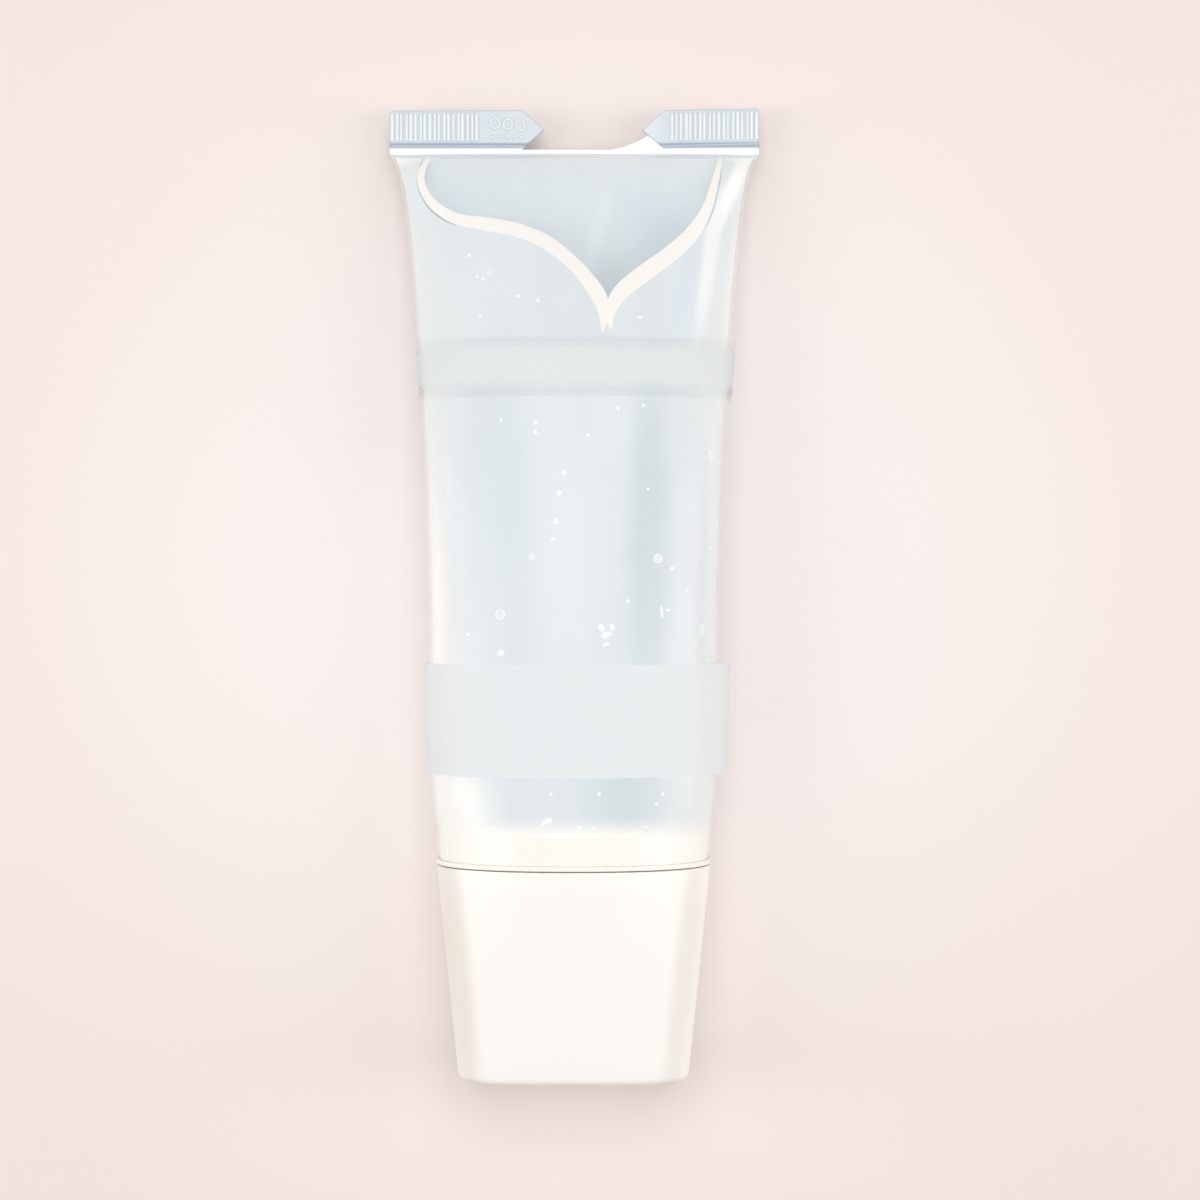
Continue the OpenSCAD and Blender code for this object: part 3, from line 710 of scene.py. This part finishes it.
def make_cap_white():
    """Satin warm white, with the fine uneven skin that a moulded cap has, and painted shade down both sides.
    """
    material, tree, shader = new_material("cap white", Roughness=0.42, IOR=1.5)
    place = place_of(tree)
    colour = mottled(tree, 45, 2, tone(253, 250, 245), tone(255, 253, 249))
    # Painted shade: a beige band down the left side and a grey one down the right, leaning with the taper.
    painted_side_shading = streaked(tree, colour, [
        (-18.9, -60, 3.6, 42, -0.106, tone(236, 229, 219), 0.85),
        (18, -62, 3.0, 42, 0.106, tone(240, 235, 229), 0.8),
    ])
    tree.links.new(painted_side_shading, shader.inputs["Base Color"])
    skin = add_node(tree, "TexNoise", Vector=place, Scale=1400, Detail=4, Roughness=0.55)
    bump = add_node(tree, "Bump", Height=skin.outputs["Fac"], Strength=0.08, Distance=0.06 * MM)
    tree.links.new(bump.outputs["Normal"], shader.inputs["Normal"])
    return material


CAP_WHITE = make_cap_white()
edge_turns = [k * math.pi / 16 for k in range(1, 9)]
rim_turns = [k * math.pi / 8 for k in range(5)]
cap_rings = [round_ring(AXIS_R, cap_end_y), round_ring(CAP_END_R, cap_end_y)]
cap_rings += between(cap_rings[-1], cap_ring(CAP_LEN, CAP_EDGE_R * 1.15), 3)
cap_rings += [cap_ring(CAP_LEN - CAP_EDGE_R * (1 - math.cos(t)), CAP_EDGE_R * (1 - math.sin(t)))
              for t in edge_turns]
cap_rings += [cap_ring(CAP_LEN * (1 - k / 14) - CAP_EDGE_R, 0) for k in range(1, 13)]
cap_rings += [cap_ring(RIM_ROUND * (1 - math.sin(t)), RIM_ROUND * (1 - math.cos(t)))
              for t in rim_turns]
cap_rings += [cap_ring((CAP_LEN - CAP_WALL) * k / 10, CAP_WALL) for k in range(11)]
cap_rings += between(cap_rings[-1], round_ring(SKIRT_OUT_R, cap_floor_y), 3)
cap_rings += [
    round_ring(SKIRT_OUT_R, skirt_mouth_y),
    round_ring(SKIRT_R, skirt_mouth_y),
    round_ring(SKIRT_R, skirt_top_y),
    round_ring(WELL_R, skirt_top_y),
    round_ring(WELL_R, cap_floor_y),
    round_ring(AXIS_R, cap_floor_y),
]
cap_shell = lofted("cap_shell", cap_rings)
finish_piece(cap_shell, CAP_WHITE, "cap", sharp=35)
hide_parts("cap")
cap_thread = helical_ridge(
    "cap_thread", thread_end_y + 1.5 * THREAD_PITCH, 1.25, SKIRT_R + THREAD_SUNK, SKIRT_R - THREAD_H)
finish_piece(cap_thread, CAP_WHITE, "cap", sharp=35)

rib_mouth_y = skirt_mouth_y - CAP_RIB_BACK
wall_reach = [cap_ring(cap_rim_y - y, CAP_WALL - CAP_RIB_SUNK) for y in (rib_mouth_y, cap_floor_y)]
for k, (side_x, side_z) in enumerate(((1, 0), (0, 1), (-1, 0), (0, -1))):
    mouth_reach, floor_reach = [max((p[0] if side_x else p[2] - axis_z) for p in ring) for ring in wall_reach]
    deselect()
    bpy.ops.mesh.primitive_cube_add(size=1)
    cap_rib = bpy.context.object
    cap_rib.name = f"cap_rib_{k}"
    for vertex in cap_rib.data.vertices:
        outer = vertex.co.x > 0
        at_mouth = vertex.co.y > 0
        along = (mouth_reach if at_mouth else floor_reach) if outer else WELL_R + CAP_RIB_INNER
        across = CAP_RIB_T * vertex.co.z
        x = side_x * along - side_z * across
        z = side_z * along + side_x * across
        vertex.co = (x, rib_mouth_y if at_mouth else cap_floor_y - CAP_RIB_SUNK, axis_z + z)
    apply_modifier(cap_rib, "BEVEL", width=0.15 * MM, segments=2)
    finish_piece(cap_rib, CAP_WHITE, "cap", sharp=30)

# Liner
# A disc of fine white foam that closes the orifice. It travels with the cap and doesn't turn.


def make_liner_foam():
    """Fine closed-cell foam with its cut cells showing."""
    material, tree, shader = new_material("liner foam", Roughness=0.75)
    place = place_of(tree)
    cells = add_node(tree, "TexVoronoi", Vector=place, Scale=2600)
    colour = blended(tree, cells.outputs["Distance"], tone(228, 228, 226), tone(244, 244, 242))
    tree.links.new(colour, shader.inputs["Base Color"])
    bump = add_node(tree, "Bump", Height=cells.outputs["Distance"], Strength=0.4, Distance=0.08 * MM)
    tree.links.new(bump.outputs["Normal"], shader.inputs["Normal"])
    return material


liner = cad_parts["cap_liner"]
liner.data.materials.clear()
liner.data.materials.append(make_liner_foam())

# Gel
# Pale, slightly cloudy gel that fills the sleeve up to a pocket of trapped air under the seal. The
# pocket's front is a leaning V, and the gel shows soft streaks along the tube. Its white left edge and
# the light streaks down its right side are painted highlights.
GEL_INSET = SLEEVE_WALL + GEL_GAP
FRONT_DEPTH = 2.6 * MM
FRONT_SHARE = 0.5
# The two branches of the pocket's front, as x, distance from the seal line and width of the wet edge
LEFT_BRANCH = (
    (-24.4, -0.5, 0.9), (-25.7, -3.4, 1.2), (-25.5, -6.4, 1.3), (-23.4, -9.7, 1.6), (-19.6, -12.2, 2.0),
    (-14.6, -13.3, 2.4), (-9.6, -14.4, 2.5), (-5, -16.4, 2.5), (-1.2, -19.3, 2.3), (2, -22.8, 2.4),
    (4.2, -26.2, 2.6), (4.9, -29, 1.6), (4.8, -32, 0.7),
)
RIGHT_BRANCH = (
    (6.2, -31.8, 0.5), (6, -29, 1.6), (7.6, -25.6, 2.7), (11.4, -22.2, 3.0), (15.5, -19, 2.9),
    (19.2, -15.4, 2.6), (21.9, -11.2, 1.9), (23.3, -7, 1.4), (24.3, -3, 1.0), (24.8, -0.5, 0.6),
)
FRONT_TIP = (5.4, -28)
AIR_LINE = (
    [(LEFT_BRANCH[0][0], 6)] + [point[:2] for point in LEFT_BRANCH[1:-3]] + [FRONT_TIP]
    + [point[:2] for point in RIGHT_BRANCH[2:-1]] + [(RIGHT_BRANCH[-1][0], 6)]
)
AIR_STEPS = 8
# The pocket is cut a little past the film, so that nothing of the gel is left on it
POCKET_OVER = 0.1 * MM
POCKET_TOP = 2.5 * shoulder_b
# Gel fills the lower part of the pocket, up to this share of the way from the middle to the film, and
# what lies deeper than this under the film has the lining's tones
LINING_LEVEL = 0.1
LINING_FROM = 0.35 * MM


def smooth_line(points, steps):
    """Even steps along a smooth curve through the points."""
    curve = []
    last = len(points) - 1
    for i in range(last):
        p0, p1, p2, p3 = (Vector(points[min(last, max(0, i + k))]) for k in (-1, 0, 1, 2))
        for k in range(steps):
            t = k / steps
            curve.append(0.5 * (2 * p1 + (p2 - p0) * t + (2 * p0 - 5 * p1 + 4 * p2 - p3) * t * t
                                + (3 * p1 - p0 - 3 * p2 + p3) * t ** 3))
    return curve + [Vector(points[last])]


air_curve = [p * MM for p in smooth_line(AIR_LINE, AIR_STEPS)]


def outward(curve, i):
    """Direction from the air to the gel at point i of the pocket's outline."""
    along = curve[min(len(curve) - 1, i + 1)] - curve[max(0, i - 1)]
    return Vector((along[1], -along[0])).normalized()


def air_ring(level, z=None):
    """The pocket's outline at a level between the lower wall, -1, and the upper, 1."""
    ring = []
    for i, point in enumerate(air_curve):
        at = min(SLEEVE_LEN, SLEEVE_LEN + point[1])
        bulge = min(FRONT_DEPTH, FRONT_SHARE * (top_point(point[0], at, 0)[2] - body_z(at)))
        p = point + outward(air_curve, i) * bulge * math.sqrt(max(0, 1 - level * level))
        s = min(SLEEVE_LEN, max(0, SLEEVE_LEN + p[1]))
        height = body_z(s) + level * (top_point(p[0], s, 0)[2] + POCKET_OVER - body_z(s))
        ring.append(Vector((p[0], seal_y + p[1], height if z is None else z)))
    return ring


# Streaks are (x, y, half width, half length, lean, tone, strength), in mm on the frame's axes
GEL_TONES = (tone(215, 223, 228), tone(222, 229, 232))
LINING_TONES = (tone(209, 222, 229), tone(214, 226, 232))
LINING_STREAKS = (
    (16, 57, 9, 14, -0.4, tone(202, 216, 228), 0.9),
    (2, 50, 6, 10, 0, tone(214, 226, 238), 0.8),
    (4, 60, 2.5, 16, 0.25, tone(222, 231, 236), 0.8),
)
GEL_STREAKS_AND_PAINTED_HIGHLIGHTS = (
    (12.5, 8, 5.5, 40, 0, tone(202, 212, 218), 0.9),
    # Painted highlight: the light streak down the right side.
    (18.4, 18, 2.6, 30, 0, tone(216, 224, 227), 0.9),
    (21, 2, 2.4, 34, 0, tone(206, 215, 222), 0.7),
    (-14, 14, 10, 34, 0.06, tone(214, 223, 227), 0.8),
    (-1, 0, 7, 34, -0.03, tone(226, 232, 234), 0.7),
    # Painted highlight: the white edge down the left side.
    (-23.2, -12, 4.2, 46, 0, tone(255, 254, 252), 1),
    (-30, 72.8, 7, 2.4, 0, tone(251, 250, 246), 1),
    (28.6, 72.8, 5, 1.8, 0, tone(251, 250, 246), 1),
    # Painted highlight: a white streak near the seal's right corner.
    (26.2, 66, 2.4, 14, 0.42, tone(253, 253, 252), 1),
    # Painted highlight: a second light streak down the right side near the seal.
    (22.4, 53, 2.1, 20, 0.16, tone(241, 246, 247), 1),
    (18.6, 50, 2.6, 14, 0.2, tone(212, 224, 234), 0.9),
    # Painted highlight: a white streak along the right edge near the seal.
    (27.6, 50, 2.6, 22, 0.1, tone(250, 249, 245), 0.9),
    (-12, 54, 10, 14, 0, tone(219, 229, 236), 0.7),
    (9, -34, 12, 11, 0, tone(205, 214, 217), 0.8),
    # Painted highlight: the lower end of the white left edge.
    (-19, -37, 9, 12, 0, tone(252, 251, 247), 0.8),
    (0, -42, 60, 5.5, 0, tone(252, 250, 244), 1),
)


def make_gel(name, tones, streak_list):
    """Pale blue gel, cloudy with fine streaks that were drawn out along the tube as it was filled, and the
    given soft streaks, which for the gel include painted highlights.
    """
    material, tree, shader = new_material(name, Roughness=0.35, IOR=1.35)
    place = place_of(tree)
    drawn = add_node(tree, "Mapping", {"vector_type": "POINT"}, Vector=place, Scale=(1, 0.16, 0.6))
    streaks = add_node(tree, "TexNoise", Vector=drawn.outputs[0], Scale=110, Detail=4, Roughness=0.55)
    spread = add_node(tree, "MapRange", Value=streaks.outputs["Fac"], From_Min=0.3, From_Max=0.7)
    base = blended(tree, spread.outputs["Result"], *tones)
    tree.links.new(streaked(tree, base, streak_list), shader.inputs["Base Color"])
    return material


gel_from = COLLAR_LEN + 0.1 * GEL_GAP
gel_to = SLEEVE_LEN - CAVITY_END - GEL_GAP
core_a = collar_a - HEAD_WALL - GEL_GAP
core_b = collar_b - HEAD_WALL - GEL_GAP
gel_rings = [
    round_ring(NECK_BORE_R - GEL_GAP, neck_top_y + NECK_END_T + GEL_GAP),
    round_ring(NECK_BORE_R - GEL_GAP, neck_base_y + HEAD_WALL + GEL_GAP),
    round_ring(NECK_ROOT_R - HEAD_WALL - GEL_GAP, neck_base_y + HEAD_WALL + GEL_GAP),
    round_ring(shoulder_r - HEAD_WALL - GEL_GAP, shoulder_y + GEL_GAP),
    oval_ring(core_a, core_b, shoulder_y + GEL_GAP),
    oval_ring(core_a, core_b, shoulder_y + gel_from),
]
gel_rings += [body_ring(s, GEL_INSET) for s in steps_between(gel_from, gel_to, 90)]
gel_body = lofted("gel_body", gel_rings)
air_levels = [LINING_LEVEL + (1 - LINING_LEVEL) * math.sin(math.pi / 2 * k / 8) for k in range(9)]
air_pocket = lofted("air_pocket", [air_ring(level) for level in air_levels] + [air_ring(1, POCKET_TOP)])
apply_modifier(gel_body, "BOOLEAN", operation="DIFFERENCE", object=air_pocket, solver="EXACT")
bpy.data.objects.remove(air_pocket)
finish_piece(gel_body, make_gel("gel", GEL_TONES, GEL_STREAKS_AND_PAINTED_HIGHLIGHTS), "tube", sharp=50)
gel_body.data.materials.append(make_gel("gel lining", LINING_TONES, LINING_STREAKS))
for face in gel_body.data.polygons:
    s = face.center[1] - shoulder_y
    if s < SLEEVE_LEN - CAVITY_END and face.normal[2] > 0:
        under_film = top_point(face.center[0], s, GEL_INSET)[2] - face.center[2]
        face.material_index = 1 if under_film > LINING_FROM else 0
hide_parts("gel")

# Gel front
# The rounded edge of the gel along the pocket. It wets the film, and is painted white as a painted
# highlight where it catches the light, in a line that thins out towards the seal.
FRONT_STEPS = 12
FRONT_HALF_T = 0.05 * MM
FRONT_SINK = 0.01 * MM


def make_gel_edge_highlight():
    """The gel's free edge, wet, and painted bright white as a highlight."""
    material, tree, shader = new_material("gel edge", Roughness=0.3, IOR=1.35)
    # Painted highlight: the edge's white stands in for the light it catches.
    colour = mottled(tree, 180, 3, tone(246, 242, 237), tone(250, 247, 242))
    tree.links.new(colour, shader.inputs["Base Color"])
    return material


def bead(name, curve, widths, material):
    """A thin ribbon of gel that wets the upper wall, along a curve of (x, y from the seal line)."""
    rings = []
    for i, point in enumerate(curve):
        side = outward(curve, i)
        ring = []
        for k in range(FRONT_STEPS):
            turn = math.tau * k / FRONT_STEPS
            p = point + side * math.cos(turn) * widths[i] / 2
            top = top_point(p[0], min(SLEEVE_LEN - CAVITY_END, SLEEVE_LEN + p[1]), SLEEVE_WALL)
            z = top[2] - FRONT_SINK - FRONT_HALF_T * (1 - math.sin(turn))
            ring.append(Vector((p[0], seal_y + p[1], z)))
        rings.append(ring)
    finish_piece(lofted(name, rings), material, "tube", sharp=60)


GEL_EDGE_HIGHLIGHT = make_gel_edge_highlight()


def add_branch(name, points):
    """One branch of the gel's front, with rounded ends."""
    line = smooth_line(points, 6)
    last = len(line) - 1
    widths = [p[2] * MM * math.sqrt(min(1, (min(i, last - i) + 0.2) / 3)) for i, p in enumerate(line)]
    bead(name, [Vector((p[0], p[1])) * MM for p in line], widths, GEL_EDGE_HIGHLIGHT)


add_branch("gel_front_left", LEFT_BRANCH)
add_branch("gel_front_right", RIGHT_BRANCH)

# Bubbles
# Small air bubbles that the filling left in the gel just under the film. The larger are pale domes with
# a rim painted bright white, a painted highlight, and the smallest are specks of the same painted white.
BUBBLE_LIFT = 0.02 * MM
# Round bubbles are (x, distance from the shoulder, radius), in mm
BUBBLES = (
    (22.4, 66.2, 0.95), (13.7, 49.3, 0.8), (-11.7, 40.3, 0.85), (20.9, 37.9, 0.75), (-13.8, 96.7, 0.6),
    (26.6, 107.2, 0.5), (11.7, 5.8, 0.5), (-6.6, 49.5, 0.5),
)
# Specks are (x, distance from the shoulder, half width, half length), in mm
SPECKS = (
    (-17.3, 99.7, 0.35, 0.35), (-9.1, 92.4, 0.35, 0.3), (-5.8, 91.6, 0.35, 0.4), (-15.2, 89.2, 0.3, 0.3),
    (10.9, 88.8, 0.35, 0.35), (-14.9, 95.5, 0.45, 0.3), (-15.9, 95.9, 0.35, 0.25), (-11.7, 71.8, 0.3, 0.3),
    (-6, 71.3, 0.45, 0.35), (-6.1, 69.8, 0.35, 0.45), (7.3, 73.6, 0.35, 0.3), (11.4, 74.1, 0.3, 0.3),
    (2.4, 69.2, 0.3, 0.3), (-1.4, 63.1, 0.3, 0.5), (-2.2, 59.8, 0.5, 0.45), (-2.7, 55.2, 0.45, 0.5),
    (-3.2, 52.4, 0.35, 0.35), (22.4, 51.1, 0.45, 0.35), (16, 47.7, 0.35, 0.35), (8.8, 42.4, 0.4, 0.3),
    (-11.6, 34.1, 0.55, 0.65), (-17, 37, 0.3, 0.3), (14.3, 40.6, 1.1, 0.28), (15.3, 41, 0.3, 0.45),
    (4.6, 38.1, 0.75, 0.5), (6.3, 38.2, 0.65, 0.45), (5.4, 37, 0.55, 0.95), (5.3, 35.5, 0.35, 0.6),
    (-4.5, 6.9, 0.85, 0.4), (-3.8, 7.3, 0.5, 0.5), (3.4, 6, 0.5, 0.3), (-12.7, 5.9, 0.3, 0.3),
    (-3.5, 11.5, 0.3, 0.3), (13.4, 9.8, 0.3, 0.3), (1, 6.2, 0.3, 0.25), (4.2, 11.5, 0.35, 0.3),
    (14.5, 11.4, 0.3, 0.3), (18.4, 44.3, 0.3, 0.3), (12.1, 60.5, 0.25, 0.3), (-19.2, 58, 0.25, 0.25),
)


def make_bubble(name, low, high, roughness):
    """The pale, wet skin of a bubble; with bright tones, its painted highlight."""
    material, tree, shader = new_material(name, Roughness=roughness, IOR=1.35)
    tree.links.new(mottled(tree, 400, 2, low, high), shader.inputs["Base Color"])
    return material


def bubble_parts(kind, places, shape_one):
    """One piece with a part at each place, each shaped by shape_one to its own size."""
    made = []
    for x, s, *size in places:
        at = top_point(x * MM, s * MM, GEL_INSET)
        ahead = top_point(x * MM, (s + 0.5) * MM, GEL_INSET) - at
        right = top_point((x + 0.5) * MM, s * MM, GEL_INSET) - at
        facing = right.cross(ahead).normalized()
        deselect()
        shape_one(*[value * MM for value in size])
        part = bpy.context.object
        part.matrix_world = facing.to_track_quat("Z", "Y").to_matrix().to_4x4()
        part.location = at + facing * BUBBLE_LIFT
        made.append(part)
    deselect()
    for part in made:
        part.select_set(True)
    bpy.context.view_layer.objects.active = made[0]
    bpy.ops.object.transform_apply(location=True, rotation=True, scale=True)
    bpy.ops.object.join()
    made[0].name = kind
    return made[0]


def add_dome(r):
    bpy.ops.mesh.primitive_uv_sphere_add(segments=20, ring_count=10, radius=r * 0.8)
    for vertex in bpy.context.object.data.vertices:
        vertex.co.z *= 0.12


def add_rim(r):
    bpy.ops.mesh.primitive_torus_add(
        major_segments=24, minor_segments=8, major_radius=r * 0.86, minor_radius=0.14 * r)
    for vertex in bpy.context.object.data.vertices:
        vertex.co.z *= 0.4


def add_speck(half_w, half_l):
    bpy.ops.mesh.primitive_uv_sphere_add(segments=16, ring_count=8, radius=1)
    for vertex in bpy.context.object.data.vertices:
        vertex.co = (half_w * vertex.co.x, half_l * vertex.co.y, 0.12 * half_w * vertex.co.z)


bubble_domes = bubble_parts("bubble_domes", BUBBLES, add_dome)
BUBBLE_SKIN = make_bubble("bubble", tone(222, 228, 232), tone(238, 242, 244), 0.2)
finish_piece(bubble_domes, BUBBLE_SKIN, "tube")
bubble_rims = bubble_parts("bubble_rims", BUBBLES, add_rim)
# Painted highlight: the rims and specks are painted bright white for the light they catch.
PAINTED_BUBBLE_GLINT = make_bubble("bubble rim", tone(244, 246, 246), tone(252, 251, 249), 0.3)
finish_piece(bubble_rims, PAINTED_BUBBLE_GLINT, "tube")
bubble_specks = bubble_parts("bubble_specks", SPECKS, add_speck)
finish_piece(bubble_specks, PAINTED_BUBBLE_GLINT, "tube")

# Labels
# Two blank strips of frosted film across the upper side, with round corners. Their ends turn down at the
# sides and have lifted off a little, those of the lower strip the most.
LABEL_T = 0.2 * MM
LABEL_GAP = 0.12 * MM
LABEL_CORNER = 1.4 * MM
LABEL_OVERHANG = math.radians(15)
LABEL_CURL = math.radians(45)
LABEL_GRID = 0.35 * MM


def label_sheet(name, at, width, right_lift, left_lift):
    """One strip: u runs over the upper side from right to left, v along the tube."""
    def place(u, v):
        s = at + v * width
        from_edge = min(v, 1 - v) * width
        short = max(0, LABEL_CORNER - from_edge)
        pull = (LABEL_CORNER - math.sqrt(max(0, LABEL_CORNER ** 2 - short ** 2))) / body_b(s)
        first, last = -LABEL_OVERHANG + pull, math.pi + LABEL_OVERHANG - pull
        angle = first + u * (last - first)
        lift = right_lift * ease((LABEL_CURL - LABEL_OVERHANG - angle) / LABEL_CURL)
        lift += left_lift * ease((angle - (math.pi + LABEL_OVERHANG - LABEL_CURL)) / LABEL_CURL)
        return body_point(s, 0, angle, LABEL_GAP + lift)

    sheet = grid_piece(name, 200, round(width / LABEL_GRID), place)
    edit_all(sheet)
    bpy.ops.mesh.flip_normals()
    bpy.ops.object.mode_set(mode="OBJECT")
    apply_modifier(sheet, "SOLIDIFY", thickness=LABEL_T, offset=1)
    return sheet


def make_label_film(name, at, width, tones, covers, margin, soft):
    """Frosted film, with its cover in the middle and at its long edges. It fades over the soft distance."""
    material, tree, shader = new_material(name, Roughness=0.5, IOR=1.45)
    tree.links.new(mottled(tree, 90, 3, *tones), shader.inputs["Base Color"])
    split = add_node(tree, "SeparateXYZ", Vector=place_of(tree))
    middle = shoulder_y + at + width / 2
    off = add_node(tree, "Math", {"operation": "SUBTRACT"}, i0=split.outputs["Y"], i1=middle)
    far = add_node(tree, "Math", {"operation": "ABSOLUTE"}, i0=off.outputs[0])
    cover = add_node(tree, "MapRange", {"interpolation_type": "SMOOTHSTEP"}, Value=far.outputs[0],
                     From_Min=width / 2 - margin - soft, From_Max=width / 2 - margin, To_Min=covers[0],
                     To_Max=covers[1])
    set_cover(tree, shader, cover.outputs["Result"])
    return material


LOWER_AT, LOWER_W = 14.1 * MM, 18.1 * MM
UPPER_AT, UPPER_W = 75.6 * MM, 10 * MM
lower_strip = label_sheet("lower_strip", LOWER_AT, LOWER_W, right_lift=2.1 * MM, left_lift=0.8 * MM)
LOWER_FILM = make_label_film(
    "lower label film", LOWER_AT, LOWER_W, (tone(226, 231, 233), tone(231, 235, 237)), (0.92, 0.95),
    margin=0, soft=0.3 * MM)
finish_piece(lower_strip, LOWER_FILM, "tube", sharp=50)
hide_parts("lower_label")
upper_strip = label_sheet("upper_strip", UPPER_AT, UPPER_W, right_lift=0.8 * MM, left_lift=0)
UPPER_FILM = make_label_film(
    "upper label film", UPPER_AT, UPPER_W, (tone(220, 228, 228), tone(226, 232, 232)), (0.6, 0),
    margin=0.7 * MM, soft=2.4 * MM)
finish_piece(upper_strip, UPPER_FILM, "tube", sharp=50)
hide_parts("upper_label")

# Floor, light and camera
# A pale floor with a faint rose tint, painted lighter round the middle as a painted pool of light, a broad
# light overhead with a strip at each side, and a camera that looks straight down at the tube.
CAMERA_AT = (4.35 * MM, -2.36 * MM, 0.45)
CAMERA_LENS = 78.5
FLOOR_SIZE = 4.0
FLOOR_NEAR, FLOOR_FAR = 0.03, 0.14

deselect()
bpy.ops.mesh.primitive_grid_add(x_subdivisions=8, y_subdivisions=8, size=FLOOR_SIZE, location=(0, 0, 0))
floor = bpy.context.object
floor.name = "floor"
floor_paint, floor_tree, floor_shader = new_material("floor", Roughness=0.9, Specular_IOR_Level=0.1)
# Painted light: the floor's colour is lighter round the middle and fades to a darker rose outwards.
floor_far = add_node(floor_tree, "VectorMath", {"operation": "LENGTH"}, i0=place_of(floor_tree))
painted_pool_share = add_node(floor_tree, "MapRange", {"interpolation_type": "SMOOTHSTEP"},
                       Value=floor_far.outputs["Value"], From_Min=FLOOR_NEAR, From_Max=FLOOR_FAR)
floor_tint_and_painted_pool = blended(floor_tree, painted_pool_share.outputs["Result"], tone(250, 241, 239), tone(241, 227, 221))
floor_tree.links.new(floor_tint_and_painted_pool, floor_shader.inputs["Base Color"])
floor.data.materials.append(floor_paint)


def add_softbox(name, place, size_x, size_y, power, colour):
    """A rectangular light that faces the middle of the tube."""
    deselect()
    bpy.ops.object.light_add(type="AREA", location=place)
    lamp = bpy.context.object
    lamp.name = name
    lamp.data.shape = "RECTANGLE"
    lamp.data.size = size_x
    lamp.data.size_y = size_y
    lamp.data.energy = power
    lamp.data.color = colour
    lamp.rotation_euler = (Vector((0, 0, 0.01)) - Vector(place)).to_track_quat("-Z", "Y").to_euler()


add_softbox("overhead light", (0.02, 0.32, 1.1), 0.7, 0.7, 4.7, (1, 0.998, 0.995))
add_softbox("left strip light", (-0.55, 0.0, 0.3), 0.2, 0.8, 1.45, (1, 1, 1))
add_softbox("right strip light", (0.55, 0.0, 0.3), 0.2, 0.8, 1.4, (1, 1, 1))

world = bpy.data.worlds.new("room light")
bpy.context.scene.world = world
world.use_nodes = True
sky = world.node_tree
room_light = sky.nodes["Background"]
room_light.inputs["Color"].default_value = (1, 0.985, 0.975, 1)
room_light.inputs["Strength"].default_value = 0.45
backdrop = add_node(sky, "Background", Color=tone(244, 232, 228))
seen = add_node(sky, "LightPath").outputs["Is Camera Ray"]
shown_sky = add_node(sky, "MixShader", Fac=seen, i1=room_light.outputs["Background"],
                     i2=backdrop.outputs["Background"])
sky.links.new(shown_sky.outputs["Shader"], sky.nodes["World Output"].inputs["Surface"])

deselect()
bpy.ops.object.camera_add(location=CAMERA_AT, rotation=(0, 0, 0))
camera = bpy.context.object
camera.data.lens = CAMERA_LENS
camera.data.sensor_width = 36
camera.data.clip_start = 0.01
bpy.context.scene.camera = camera
bpy.context.scene.view_settings.view_transform = "Standard"
